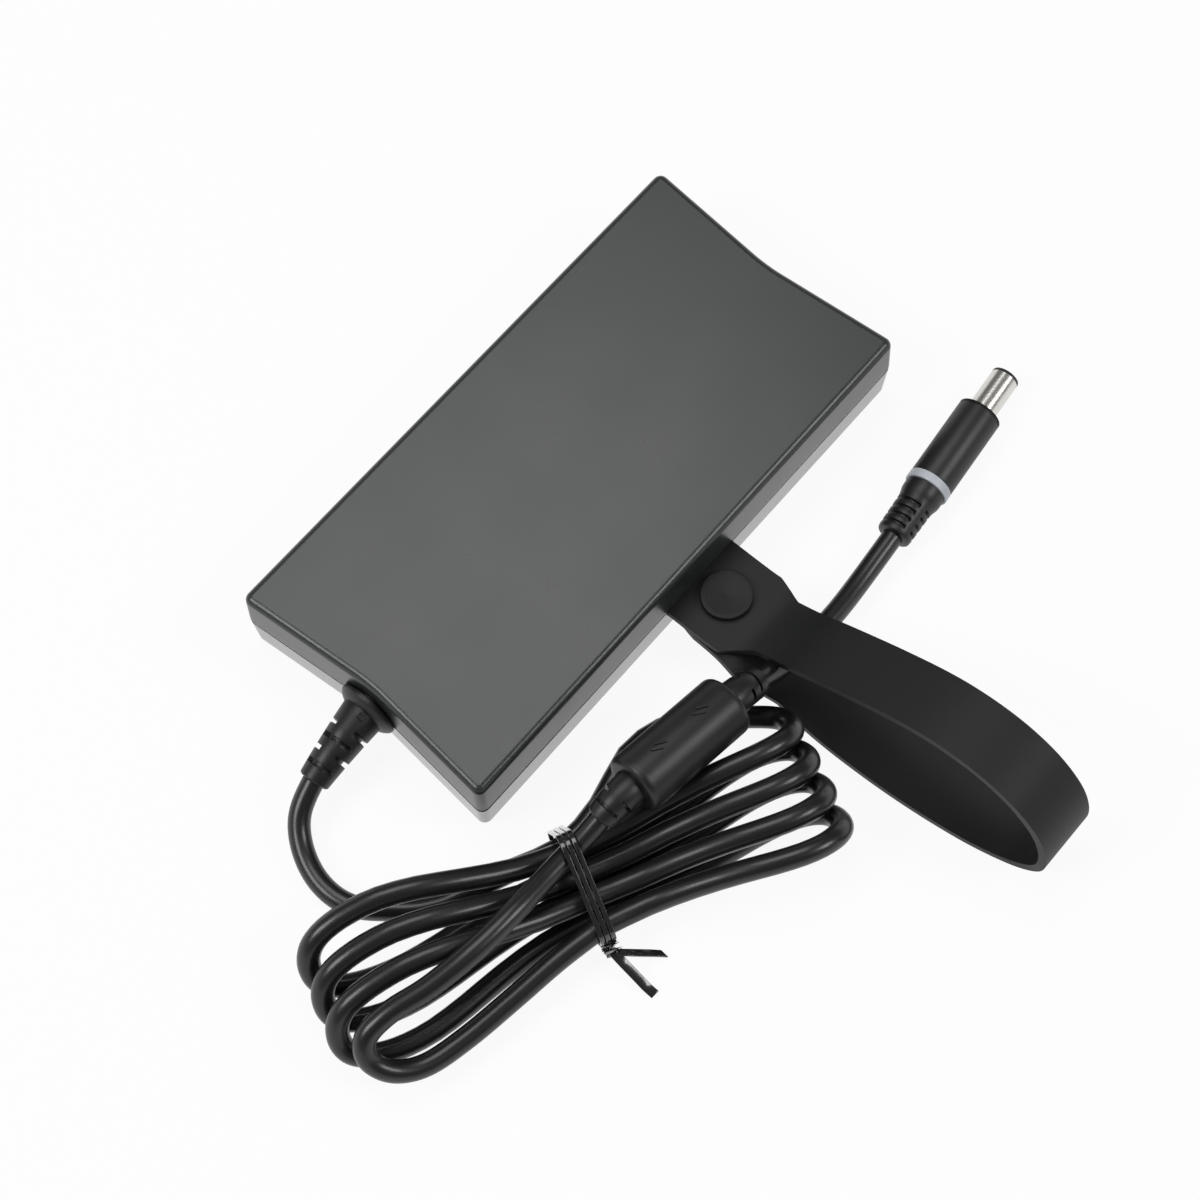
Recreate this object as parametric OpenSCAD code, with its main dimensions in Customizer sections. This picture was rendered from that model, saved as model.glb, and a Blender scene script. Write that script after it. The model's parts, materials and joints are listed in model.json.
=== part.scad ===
// Laptop power adapter: a slim two-shell housing with a mains inlet in one end wall, a DC cord
// with a ferrite bead and a barrel plug out of the other, and a rubber cord strap in one side.
// Frame: origin at the centre of the underside, +X towards the DC cord, +Y towards the strap, +Z up.

/* [Housing] */
// Length over the four corners
body_l = 154.7; // [130:0.1:190]
// Width at the seam
body_w = 76.6; // [66:0.1:92]
// Height
body_h = 25.4; // [23:0.1:31]
// Wall thickness of both shells
wall = 2.2; // [1.8:0.1:2.8]
// Depth of the shallow V in each short end
end_v = 3.2; // [0:0.1:6]
// Radius of the upright corners
corner_r = 2.4; // [1.5:0.1:5]
// Rounding of the top edge
top_round = 1.2; // [0.4:0.1:2]
// Rounding of the bottom edge
base_round = 1.5; // [0.4:0.1:2]
// How far the upper wall leans in from the seam to the top
upper_lean = 0.5; // [0:0.1:1.2]
// How far the lower wall leans in from the seam to the base
lower_lean = 0.5; // [0:0.1:1.2]
// Height of the seam between the shells
seam_z = 12.7; // [11.5:0.1:15]
// Open width of the seam
seam_gap = 0.3; // [0.1:0.1:0.6]

/* [Circuit board] */
// Height of the board's underside
board_z = 4.6; // [4:0.1:6]
// Board thickness
board_t = 1.6; // [1:0.1:2]
// Gap between the board's edge and the walls
board_gap = 1.0; // [0.5:0.1:3]

/* [Mains inlet] */
// Width of the inlet's socket
inlet_w = 24.4; // [24:0.1:25]
// Height of the inlet's socket
inlet_h = 16.4; // [16:0.1:17]
// Depth of the inlet's socket
inlet_depth = 16.5; // [15:0.1:18]
// Wall round the socket
inlet_wall = 1.8; // [1.2:0.1:2]
// Distance between the line and neutral pins
pin_pitch = 14; // [14:0.1:14.2]
// How far the pins reach from the socket's floor
pin_reach = 15; // [13:0.1:16]

/* [Cord] */
// Cord diameter
cord_d = 5.5; // [4.5:0.1:5.9]
// Diameter of the cord exit's collar
collar_d = 16; // [13:0.1:17]
// Root diameter of the exit boot
boot_root_d = 11.2; // [9:0.1:12]
// Tip diameter of every boot on the cord
boot_tip_d = 7.8; // [6.6:0.1:9]

/* [Hank] */
// From the hank's waist to its loop ends by the housing
near_half = 65; // [58:1:68]
// From the hank's waist to its loop ends by the strap
far_half = 61; // [56:1:62]
// Step from loop to loop at the waist
waist_step = 6.2; // [6.1:0.1:6.6]
// Step from loop to loop at the ends by the housing
near_step = 8.8; // [8.8:0.1:10.4]
// Step from loop to loop at the ends by the strap
far_step = 8.7; // [8.3:0.1:10.6]

/* [Bead] */
// Diameter of the bead
bead_d = 15.5; // [14:0.1:16]
// Length of the bead
bead_l = 32; // [26:0.5:33]
// Wall of the bead's moulding
bead_wall = 1.6; // [1.2:0.1:2.2]

/* [Plug] */
// Diameter of the plug's metal sleeve
sleeve_d = 7.4; // [7.3:0.05:7.5]
// Bore of the plug's inner sleeve
socket_d = 5.0; // [4.8:0.05:5.1]
// Length of bare sleeve
sleeve_l = 11.5; // [9:0.1:13]
// Diameter of the plug's grip
grip_d = 11.6; // [10.5:0.1:13]
// Length of the grip
grip_l = 23.4; // [18:0.1:28]
// Length of the light ring
ring_l = 2.3; // [1.5:0.1:4]
// Length of the ribbed boot behind the light ring
plug_boot_l = 15.3; // [12:0.1:20]

/* [Strap] */
// Width of the strap's two wide ends
tab_w = 24.5; // [22:0.1:27]
// Width of the band
band_w = 16.3; // [12:0.1:18]
// Thickness of the strap
strap_t = 2.2; // [1.6:0.1:2.4]
// Diameter of the button's head
button_d = 13; // [10:0.1:15]
// Diameter of the button's stem
stem_d = 5; // [4:0.1:6]

/* [Hidden] */

fit_gap = 0.15;         // clearance of pieces that are trapped by the shells
run_gap = 0.3;          // clearance of pieces that move
lip_t = 1.0;            // thickness of the lower shell's lip inside the seam
lip_h = 1.8;            // height of that lip above the seam
cord_r = cord_d / 2;
inner_x = body_l / 2 - end_v - wall;    // inside face of the end walls at mid width
inner_y = body_w / 2 - wall;            // inside face of the side walls
inner_top = body_h - wall;              // inside face of the upper shell's roof
deck_z = board_z + board_t;             // top of the board
mid_z = body_h / 2;
side_y = body_w / 2;                    // outside of the side wall that the strap comes out of
spreader_t = 0.6;
spreader_gap = 0.3;     // between the heat spreader and the roof
spreader_z = inner_top - spreader_gap - spreader_t;
tall_h = spreader_z - 0.5 - deck_z;     // height of the tallest parts on the board

// ---------------------------------------------------------------- vectors, rings and skins

function unit(v) = v / norm(v);

// A point turned by tilt about Y (nose down) and then by turn about Z, and moved to at
function place(p, at, tilt, turn) =
    let (x = p[0] * cos(tilt) + p[2] * sin(tilt))
    at + [x * cos(turn) - p[1] * sin(turn),
          x * sin(turn) + p[1] * cos(turn),
          p[2] * cos(tilt) - p[0] * sin(tilt)];

// Smooth curve through the points, with the given number of steps between two of them
function spline(points, steps) =
    let (last = len(points) - 1)
    [for (i = [0:last - 1], s = [0:steps - 1])
        let (a = points[max(i - 1, 0)],
             b = points[i],
             c = points[i + 1],
             d = points[min(i + 2, last)],
             f = s / steps)
        0.5 * (2 * b + (c - a) * f + (2 * a - 5 * b + 4 * c - d) * f * f
            + (3 * b - a - 3 * c + d) * f * f * f),
     points[last]];

// Path through chosen points that leaves both its ends straight for one cord diameter
function route(from, from_dir, points, to, to_dir, steps) =
    concat([from + 0.02 * from_dir],
           spline(concat([from + from_dir * cord_d], points, [to + to_dir * cord_d]), steps),
           [to + 0.02 * to_dir]);

function heading(path, i) = unit(path[min(i + 1, len(path) - 1)] - path[max(i - 1, 0)]);

// A ring of points round a path's point, one for each radius in the list
function ring_at(point, ahead, radii) =
    let (side = unit(cross([0, 0, 1], ahead)),
         up = cross(ahead, side))
    [for (j = [0:len(radii) - 1])
        let (a = 360 * j / len(radii))
        point + radii[j] * (cos(a) * side + sin(a) * up)];

// Closed skin over rings that all have the same number of points
module skin(rings) {
    n = len(rings[0]);
    m = len(rings);
    points = [for (ring = rings) each ring];
    sides = [for (j = [0:m - 2], i = [0:n - 1])
        let (k = (i + 1) % n)
        each [[j * n + i, (j + 1) * n + i, (j + 1) * n + k],
              [j * n + i, (j + 1) * n + k, j * n + k]]];
    first = [for (i = [0:n - 1]) i];
    last = [for (i = [n - 1:-1:0]) (m - 1) * n + i];
    polyhedron(points, concat([first], sides, [last]), convexity = 10);
}

// Round tube along a path
module tube(path, d, sides) {
    round_ring = [for (j = [1:sides]) d / 2];
    skin([for (i = [0:len(path) - 1]) ring_at(path[i], heading(path, i), round_ring)]);
}

module block(at, size) {
    translate([at[0] - size[0] / 2, at[1] - size[1] / 2, at[2]]) cube(size);
}

// ---------------------------------------------------------------- housing

end_soft = 4;       // how far the point of the end's V is rounded off
corner_steps = 4;   // flats round an upright corner

// Plan outline of the housing, drawn in by inset
function outline(inset) =
    let (hx = body_l / 2,
         hy = body_w / 2,
         r = max(corner_r - inset, 0.3),
         cy = hy - inset - r,
         soft = function(y) sqrt(y * y + end_soft * end_soft) - end_soft,
         end_x = function(y) hx - inset - end_v * (1 - soft(y) / soft(hy)),
         cx = end_x(cy) - r,
         arc = function(sx, sy, from)
             [for (i = [0:corner_steps])
                 [sx * cx, sy * cy] + r * [cos(from + 90 * i / corner_steps),
                                           sin(from + 90 * i / corner_steps)]],
         notch = [for (f = [0.72, 0.36, 0.12, 0, -0.12, -0.36, -0.72]) f * hy])
    concat(arc(1, 1, 0), arc(-1, 1, 90),
           [for (y = notch) [-end_x(y), y]],
           arc(-1, -1, 180), arc(1, -1, 270),
           [for (y = notch) [end_x(y), -y]]);

function outline_at(z, inset) = [for (p = outline(inset)) [p[0], p[1], z]];

module shell_outside_top() {
    rounding = [for (a = [0:22.5:90])
        outline_at(body_h - top_round * (1 - sin(a)), upper_lean + top_round * (1 - cos(a)))];
    skin(concat([outline_at(seam_z + seam_gap / 2, 0)], rounding));
}

module shell_outside_bottom() {
    rounding = [for (a = [90:-22.5:0])
        outline_at(base_round * (1 - sin(a)), lower_lean + base_round * (1 - cos(a)))];
    skin(concat(rounding, [outline_at(seam_z - seam_gap / 2, 0.2)]));
}

module prism(inset, z0, z1) {
    translate([0, 0, z0]) linear_extrude(z1 - z0) polygon(outline(inset));
}

// Opening for the inlet in the end wall
module inlet_window() {
    translate([-body_l / 2 - 1, -inlet_outer_w / 2 - fit_gap, mid_z - inlet_outer_h / 2 - fit_gap])
        cube([end_v + wall + 6, inlet_outer_w + 2 * fit_gap, inlet_outer_h + 2 * fit_gap]);
}

// Opening for the neck of the cord exit
module exit_window() {
    translate([inner_x - 1, 0, mid_z]) rotate([0, 90, 0])
        cylinder(d = exit_neck_d + 2 * fit_gap, h = end_v + wall + 4, $fn = 64);
}

// Slot in the lower shell's rim for the strap
module strap_slot() {
    translate([strap_x - tab_w / 2 - fit_gap, inner_y - 1, strap_root_z - strap_t / 2 - fit_gap])
        cube([tab_w + 2 * fit_gap, wall + 3, 10]);
}

post_x = 62;            // posts under the board
post_y = 28;
post_d = 6;
rib_t = 1.2;

module bottom_cover() {
    color([0.23, 0.24, 0.24]) difference() {
        union() {
            difference() {
                union() {
                    shell_outside_bottom();
                    prism(wall - lip_t, seam_z - 1, seam_z + lip_h);
                }
                prism(wall, wall, body_h);
            }
            for (x = [-post_x + 18, post_x], y = [-post_y, post_y])
                translate([x, y, wall - 0.5]) cylinder(d = post_d, h = board_z - wall + 0.5, $fn = 32);
        }
        inlet_window();
        exit_window();
        strap_slot();
    }
}

module top_cover() {
    color([0.3, 0.31, 0.31]) difference() {
        shell_outside_top();
        prism(wall, 0, inner_top);
        prism(wall - lip_t - fit_gap, 0, seam_z + lip_h + fit_gap);
        inlet_window();
        exit_window();
    }
}

// ---------------------------------------------------------------- mains inlet

inlet_outer_w = inlet_w + 2 * inlet_wall;
inlet_outer_h = inlet_h + 2 * inlet_wall;
inlet_proud = 0.9;      // how far the inlet's rim stands out of the V
inlet_front = -body_l / 2 + end_v - 0.4 - inlet_proud;
inlet_floor = inlet_front + inlet_depth;
inlet_back_t = 2.6;
inlet_chamfer = 5.2;
blade = [4, 2];         // height and thickness of a pin
blade_leg_x = inlet_floor + inlet_back_t + 2.2;

module inlet_socket_shape() {
    w = inlet_w / 2;
    h = inlet_h / 2;
    c = inlet_chamfer;
    polygon([[-w, -h], [w, -h], [w, h - c], [w - c, h], [-w + c, h], [-w, h - c]]);
}

module inlet_housing() {
    color([0.07, 0.07, 0.07]) difference() {
        translate([inlet_front, -inlet_outer_w / 2, mid_z - inlet_outer_h / 2])
            cube([inlet_depth + inlet_back_t, inlet_outer_w, inlet_outer_h]);
        translate([inlet_front - 1, 0, mid_z]) rotate([90, 0, 90])
            linear_extrude(inlet_depth + 1) inlet_socket_shape();
        for (y = [-pin_pitch / 2, pin_pitch / 2]) blade_hole(y, mid_z - 2);
        blade_hole(0, mid_z + 2);
    }
}

module blade_hole(y, z) {
    translate([inlet_floor - 1, y - blade[1] / 2 - 0.05, z - blade[0] / 2 - 0.05])
        cube([inlet_back_t + 2, blade[1] + 0.1, blade[0] + 0.1]);
}

// One blade of the inlet with its leg down to the board
module inlet_blade(y, z) {
    intersection() {
        translate([inlet_floor - pin_reach, y - blade[1] / 2, z - blade[0] / 2])
            cube([blade_leg_x - inlet_floor + pin_reach, blade[1], blade[0]]);
        translate([inlet_floor - pin_reach, y, z]) rotate([90, 0, 90])
            linear_extrude(60) polygon([[-1, -1.6], [-0.6, -2], [0.6, -2], [1, -1.6],
                                        [1, 1.6], [0.6, 2], [-0.6, 2], [-1, 1.6]]);
    }
    translate([blade_leg_x - 1.6, y - 0.6, deck_z]) cube([1.6, 1.2, z - deck_z]);
}

module inlet_pins() {
    color([0.8, 0.8, 0.78]) for (y = [-pin_pitch / 2, pin_pitch / 2]) inlet_blade(y, mid_z - 2);
}

module earth_pin() {
    color([0.8, 0.8, 0.78]) inlet_blade(0, mid_z + 2);
}

// ---------------------------------------------------------------- board and what stands on it

board_x0 = inlet_floor + inlet_back_t + 0.4;
board_x1 = inner_x - 2.6 - board_gap;         // clear of the cord exit's flange
board_half_y = inner_y - board_gap;

module board_plate(z, t, grow) {
    translate([board_x0 - grow, -board_half_y - grow, z])
        cube([board_x1 - board_x0 + 2 * grow, 2 * (board_half_y + grow), t]);
}

module circuit_board() {
    color([0.12, 0.36, 0.2]) board_plate(board_z, board_t, 0);
}

module insulating_sheet() {
    color([0.85, 0.82, 0.7]) difference() {
        board_plate(board_z - 1.2, 0.4, -0.3);
        for (x = [-post_x + 18, post_x], y = [-post_y, post_y])
            translate([x, y, 0]) cylinder(d = post_d + 1, h = board_z, $fn = 32);
    }
}

module fuse() {
    color([0.1, 0.1, 0.1]) block([-50, 16, deck_z], [4.2, 8.4, 7.6]);
}

module noise_capacitors() {
    color([0.85, 0.72, 0.2]) block([-42.5, 21.5, deck_z], [8.4, 18, 14.4]);
    color([0.2, 0.4, 0.75]) for (x = [-47, -41])
        translate([x, 5.5, deck_z + 4]) rotate([0, 90, 0]) cylinder(d = 8, h = 3, $fn = 32);
}

choke_at = [-38.5, -12];
module choke_core() {
    color([0.25, 0.25, 0.27]) translate([choke_at[0], choke_at[1], deck_z + 2.2])
        rotate_extrude($fn = 64) translate([5.6, 0]) square([4.2, 7]);
}

module choke_windings() {
    color([0.72, 0.4, 0.2]) translate([choke_at[0], choke_at[1], deck_z]) difference() {
        rotate_extrude($fn = 64) translate([3.6, 0]) square([8.2, 11.4]);
        translate([0, 0, 1.9]) rotate_extrude($fn = 64) translate([5.3, 0]) square([4.8, 7.6]);
        translate([-1.6, -13, -1]) cube([3.2, 26, 14]);
    }
}

sink_y = inner_y - board_gap - 1.6;     // outer face of both heatsinks
module bridge_rectifier() {
    color([0.08, 0.08, 0.08]) block([-34, -sink_y + 1.6 + 1.9, deck_z], [22, 3.6, 13.4]);
}

// Aluminium angle along a side wall: its upright and a foot on the board
module heatsink(x, y_wall, length, side) {
    translate([x - length / 2, y_wall - (side > 0 ? 1.6 : 0), deck_z]) cube([length, 1.6, tall_h - 0.4]);
    translate([x - length / 2, y_wall - (side > 0 ? 4 : 0), deck_z + tall_h - 1.6])
        cube([length, 4, 1.2]);
}

module primary_heatsink() {
    color([0.75, 0.76, 0.78]) heatsink(-10, -sink_y, 74, -1);
}

module output_heatsink() {
    color([0.75, 0.76, 0.78]) heatsink(44, sink_y, 46, 1);
}

// Tab-mounted power device: body, metal tab and three legs
module power_device(x, y, side) {
    block([x, y - side * 2.3, deck_z + 3.4], [10, 4.4, 9]);
    for (i = [-1, 0, 1]) block([x + i * 2.54, y - side * 2.6, deck_z], [0.8, 0.6, 3.5]);
}

module switching_transistors() {
    color([0.1, 0.1, 0.1]) for (x = [-12, 2, 16]) power_device(x, -sink_y + 1.6, -1);
}

module output_rectifiers() {
    color([0.1, 0.1, 0.1]) for (x = [32, 46]) power_device(x, sink_y - 1.6, 1);
}

module heatsink_screws() {
    color([0.8, 0.8, 0.8]) {
        for (x = [-12, 2, 16]) sink_screw(x, -sink_y + 1.6 + 4.5, -1);
        for (x = [32, 46]) sink_screw(x, sink_y - 1.6 - 4.5, 1);
    }
}

module sink_screw(x, y, side) {
    translate([x, y, deck_z + 8]) rotate([side > 0 ? 90 : -90, 0, 0])
        cylinder(d = 5.4, h = 1.6, $fn = 32);
}

module boost_choke_core() {
    color([0.22, 0.22, 0.24]) for (y = [-11.6, 11.6 - 3])
        translate([-13 - 11, -6 + y, deck_z]) cube([22, 3, tall_h]);
    color([0.22, 0.22, 0.24]) translate([-13, -14.6, deck_z + tall_h / 2]) rotate([-90, 0, 0])
        cylinder(d = 8, h = 17.2, $fn = 32);
}

module boost_choke_winding() {
    color([0.72, 0.4, 0.2]) translate([-13, -14.3, deck_z + tall_h / 2])
        rotate([-90, 0, 0]) difference() {
        cylinder(d = tall_h - 0.2, h = 16.6, $fn = 48);
        translate([0, 0, -1]) cylinder(d = 8.4, h = 20, $fn = 32);
    }
}

module bulk_capacitor() {
    color([0.1, 0.12, 0.2]) translate([-36, 23.5, deck_z + 0.1 + tall_h / 2])
        rotate([0, 90, 0]) cylinder(d = tall_h, h = 34, $fn = 64);
}

tx = 20;                // place of the transformer
ty = 4;
module transformer_core() {
    color([0.2, 0.2, 0.22]) difference() {
        block([tx, ty, deck_z], [32, 27, tall_h]);
        block([tx, ty, deck_z - 1], [22, 30, tall_h + 2.4]);
    }
    color([0.2, 0.2, 0.22]) translate([tx - 12, ty, deck_z + tall_h / 2]) rotate([0, 90, 0])
        cylinder(d = 12, h = 24, $fn = 48);
}

module transformer_winding() {
    color([0.85, 0.75, 0.25]) translate([tx - 10.7, ty, deck_z + tall_h / 2])
        rotate([0, 90, 0]) difference() {
            cylinder(d = tall_h - 0.2, h = 21.4, $fn = 64);
            translate([0, 0, -1]) cylinder(d = 12.4, h = 30, $fn = 48);
        }
}

module optocoupler() {
    color([0.12, 0.12, 0.12]) block([24, -17, deck_z], [6.4, 4.6, 3.4]);
}

module control_chips() {
    color([0.06, 0.06, 0.06]) {
        block([34, -18, deck_z], [9.9, 3.9, 1.6]);
        block([44, -24, deck_z], [4.9, 3.9, 1.6]);
    }
}

module output_capacitors() {
    color([0.12, 0.14, 0.2]) for (p = [[45, 14], [45, 3], [45, -8], [57, 10], [57, -12]])
        translate([p[0], p[1], deck_z]) cylinder(d = 10, h = tall_h - 1.1, $fn = 48);
}

module heat_spreader() {
    z = spreader_z;
    color([0.8, 0.8, 0.8]) {
        translate([-50, -board_half_y + 0.6, z]) cube([114, 2 * board_half_y - 1.2, spreader_t]);
        // skirts down the side walls; the one by the strap is short
        translate([-40, -board_half_y + 0.6, deck_z]) cube([84, spreader_t, z - deck_z + 0.3]);
        translate([18, board_half_y - 0.6 - spreader_t, deck_z])
            cube([44, spreader_t, z - deck_z + 0.3]);
    }
}

// ---------------------------------------------------------------- cord exit, boots

exit_neck_d = 12.4;     // neck of the exit, held in the end wall
exit_x = body_l / 2 - end_v;            // outside of the end wall at the point of its V
exit_turn = 4;          // heading of the boot in plan
exit_droop = 2.6;       // bend from ring to ring
boot_sides = 24;

// The bent centre line of a boot: rings of one pitch, each turned down by droop against the last
function boot_point(s, pitch, droop) =
    s <= 0 ? [s, 0, 0] :
    let (i = floor(s / pitch), f = s - i * pitch,
         base = [for (k = 0, x = 0, z = 0; k <= i;
                      x = x + pitch * cos(k * droop), z = z - pitch * sin(k * droop), k = k + 1)
                 [x, 0, z]])
    base[i] + f * [cos(i * droop), 0, -sin(i * droop)];

function boot_angle(s, pitch, droop) = droop * max(floor(s / pitch - 0.001), 0);

// Radii round a boot in the groove after ring i: the core, with two bridges at full size
function groove_radii(i, full, core) =
    [for (j = [0:boot_sides - 1])
        let (a = abs((360 * j / boot_sides + 90 * (i % 2)) % 180 - 90))
        a > 62 ? full : core];

// Skin of a boot with grooves between its rings, along its own X
module boot(rings, pitch, droop, root_d, tip_d) {
    groove = pitch * 0.34;
    core_r = cord_r + 0.45;
    size_at = function(s) (root_d + (tip_d - root_d) * s / (rings * pitch)) / 2;
    section = function(s, radii)
        let (a = boot_angle(s, pitch, droop))
        [for (j = [0:boot_sides - 1])
            let (b = 360 * j / boot_sides)
            boot_point(s, pitch, droop)
                + radii[j] * [sin(b) * sin(a), cos(b), sin(b) * cos(a)]];
    plain = function(s) section(s, [for (j = [1:boot_sides]) size_at(s)]);
    skin([plain(0),
          for (i = [0:rings - 2]) each
              let (s1 = (i + 1) * pitch - groove, s2 = (i + 1) * pitch,
                   g = groove_radii(i, size_at(s1), core_r))
              [plain(s1 - 0.01), section(s1, g), section(s2 - 0.02, g), plain(s2 - 0.01)],
          plain(rings * pitch - 0.4),
          section(rings * pitch, [for (j = [1:boot_sides]) tip_d / 2 - 0.4])]);
}

exit_rings = 6;
exit_pitch = 3.4;
exit_from = [exit_x + 2.2, 0, mid_z];
exit_tilt = 3;
exit_end = place(boot_point(exit_rings * exit_pitch, exit_pitch, exit_droop),
                 exit_from, exit_tilt, exit_turn);
exit_dir = place([1, 0, 0], [0, 0, 0],
                 exit_tilt + (exit_rings - 1) * exit_droop, exit_turn);

module dc_strain_relief() {
    color([0.08, 0.08, 0.08]) {
        // inner flange, neck through the end wall and collar outside it
        translate([inner_x - 2.6, 0, mid_z]) rotate([0, 90, 0])
            cylinder(d = collar_d, h = 2.4, $fn = 64);
        translate([inner_x - 2.6, 0, mid_z]) rotate([0, 90, 0])
            cylinder(d = exit_neck_d, h = exit_x - inner_x + 3.6, $fn = 64);
        translate([exit_x + 0.6, 0, mid_z]) rotate([0, 90, 0])
            cylinder(d1 = collar_d, d2 = collar_d - 2.4, h = 2.2, $fn = 64);
        translate(exit_from) rotate([0, exit_tilt, exit_turn])
            boot(exit_rings, exit_pitch, exit_droop, boot_root_d, boot_tip_d);
    }
}

module output_wires() {
    color([0.7, 0.1, 0.1]) for (y = [-2, 2])
        tube(spline([[inner_x - 2.9, y, mid_z], [inner_x - 4.5, y, mid_z - 0.3],
                     [inner_x - 6.5, y, mid_z - 2.6], [inner_x - 7, y, deck_z + 2.4],
                     [inner_x - 7, y, deck_z + 0.1]], 3), 2, 8);
}

// ---------------------------------------------------------------- place of the bead

bead_at = [36.6, side_y + 26, 22.8];
bead_turn = 174.5;
bead_tilt = 8;                  // the far end lies lower
bead_round = 1.6;
ferrite_d = bead_d - 2 * bead_wall - 0.1;
ferrite_l = bead_l - 2 * 2.5;
boot_pitch = 2.5;
near_rings = 4;
far_rings = 4;
near_droop = 13;
far_droop = 10;
bead_boot_root_d = 9.2;
near_end = place(place(boot_point(near_rings * boot_pitch, boot_pitch, near_droop),
                       [bead_l / 2, 0, 0], 0, 0), bead_at, -bead_tilt, bead_turn + 180);
near_dir = -place([1, 0, 0], [0, 0, 0],
                  -bead_tilt + (near_rings - 1) * near_droop, bead_turn + 180);
far_end = place(place(boot_point(far_rings * boot_pitch, boot_pitch, far_droop),
                      [bead_l / 2, 0, 0], 0, 0), bead_at, bead_tilt, bead_turn);
far_dir = place([1, 0, 0], [0, 0, 0], bead_tilt + (far_rings - 1) * far_droop, bead_turn);

// ---------------------------------------------------------------- hank

hank_at = [72.7, side_y + 25];         // place of the hank's waist in plan
hank_turn = 155;                // heading of the hank's far end in plan
near_lean = 130;                // how a loop's plane stands at the loop ends, from lying flat
far_lean = 50;
loop_half = 10.4;               // half the width of a loop at its widest
waist_half = 2.8;               // half the distance of a loop's two strands at the waist
waist_u = 6;                    // where the strands lie closest
waist_reach = 55;               // how far from there a loop reaches its full width
loop_round = 0.5;               // bluntness of the loop ends
end_lift = 9;                   // how far the loop ends rise off the surface
waist_v = 2.5;                  // sideways place of the waist
near_v = 5;                     // sideways place of the loop ends
far_v = 1.2;
waist_lift = 1.3;               // room for the tie under the waist
first_loop = -1.75;             // place of the first strand, in steps from the middle
first_bow = 12;                 // how far the first strand bows out round the bead

function smooth(x) = let (c = min(max(x, 0), 1)) c * c * (3 - 2 * c);

// A point of the winding at phase degrees, as distance along, across and up from the waist
function hank_point(phase) =
    let (reach = sin(phase) < 0 ? near_half : far_half,
         u = reach * sin(phase),
         c = cos(phase),
         half = waist_half + (loop_half - waist_half) * smooth(abs(u - waist_u) / waist_reach),
         s = -half * c / sqrt(c * c + loop_round * loop_round) * sqrt(1 + loop_round * loop_round),
         a = smooth(abs(u) / reach * 1.1),
         lean = 90 + ((u < 0 ? near_lean : far_lean) - 90) * a,
         step = waist_step + ((u < 0 ? near_step : far_step) - waist_step) * a,
         shift = waist_v + ((u > 0 ? far_v : near_v) - waist_v) * a,
         bow = phase > 90 ? 0 : pow(sin(180 * pow(max(u - 3, 0) / (reach - 3), 0.8)), 2),
         lift = sqrt(s * s + end_lift * end_lift * a * a))
    [u,
     (phase / 360 + first_loop) * step + s * cos(lean) + shift - first_bow * bow,
     cord_r + (lift + s) * sin(lean) + waist_lift * (1 - smooth(abs(u) / 16))];

function hank_to_world(p) =
    [hank_at[0] + p[0] * cos(hank_turn) + p[1] * sin(hank_turn),
     hank_at[1] + p[0] * sin(hank_turn) - p[1] * cos(hank_turn),
     p[2]];

loop_steps = 24;                // rings in one loop
hank_from = -0.05;              // where the winding starts and ends, in loops
hank_to = 3.5;
gather = 15;                    // degrees by which rings are gathered towards the loop ends

wound = [for (i = [round(hank_from * loop_steps):round(hank_to * loop_steps)])
    let (t = i / loop_steps)
    hank_to_world(hank_point(360 * t + gather * sin(720 * t)))];

// The last loop lies on the others and comes back over the waist to the bead
last_loop = spline([for (p = [[0, 14.3, 9.9], [-12, 17, 9], [-25, 20.8, 8], [-38, 24.5, 7.5],
                              [-49, 26.6, 8], [-56.5, 25.3, 10], [-60.5, 21.3, 13.5],
                              [-59, 17.3, 17.8], [-52, 15, 20.5], [-42, 13.8, 22],
                              [-30, 10.8, 23.4], [-18, 6, 22.4], [-8, 1, 19.2], [0, -3, 17]])
    hank_to_world(p)], 2);

hank_start_dir = unit(wound[0] - wound[1]);
hank_path = concat([wound[0] + hank_start_dir * cord_d],
                   [for (i = [0:len(wound) - 2]) wound[i]], last_loop,
                   [near_end - near_dir * cord_d, near_end]);

// Least distance between two stretches of a path that are more than three diameters apart on it
function finer(path) = [for (i = [0:len(path) - 2], f = [0, 0.5])
    path[i] + f * (path[i + 1] - path[i])];
function run_length(path, i = 0, sum = 0, out = []) =
    i >= len(path) ? out :
    let (now = sum + (i == 0 ? 0 : norm(path[i] - path[i - 1])))
    run_length(path, i + 1, now, concat(out, [now]));
function least_gap(path) =
    let (fine = finer(path),
         run = run_length(fine))
    min([for (i = [0:len(fine) - 1], j = [i + 1:1:len(fine) - 1])
        if (run[j] - run[i] > 3 * cord_d) norm(fine[i] - fine[j])]) - cord_d;

module cord_hank() {
    echo(hank_least_gap = least_gap(hank_path), hank_length = max(run_length(hank_path)));
    color([0.07, 0.07, 0.07]) tube(hank_path, cord_d, 6);
}

// The cord from the exit's boot to the hank
lead_path = route(exit_end, exit_dir,
                  [[107.2, 5.8, 4.6], [111.6, 13, 3], [113.2, 21, 2.8], [111.5, 29, 2.8],
                   [106.2, 35, 2.9]],
                  hank_path[0], hank_start_dir, 3);

module lead_cord() {
    echo(lead_length = max(run_length(lead_path)));
    color([0.07, 0.07, 0.07]) tube(lead_path, cord_d, 8);
}

// ---------------------------------------------------------------- tie

tie_t = 0.6;
tie_w = 1.2;
tie_gap = 0.6;
knot_l = 3.4;
// Extreme strands of the waist, as distance across and up
waist_strands = [[-9.3, cord_r + waist_lift], [10.5, cord_r + waist_lift], [-5.6, 10.4],
                 [14.5, 9.9], [-2, 17.7], [-3.6, 18.1]];

module waist_outline(grow) {
    hull() for (p = waist_strands)
        translate([-p[0], p[1]]) circle(r = cord_r + grow, $fn = 32);
}

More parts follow.
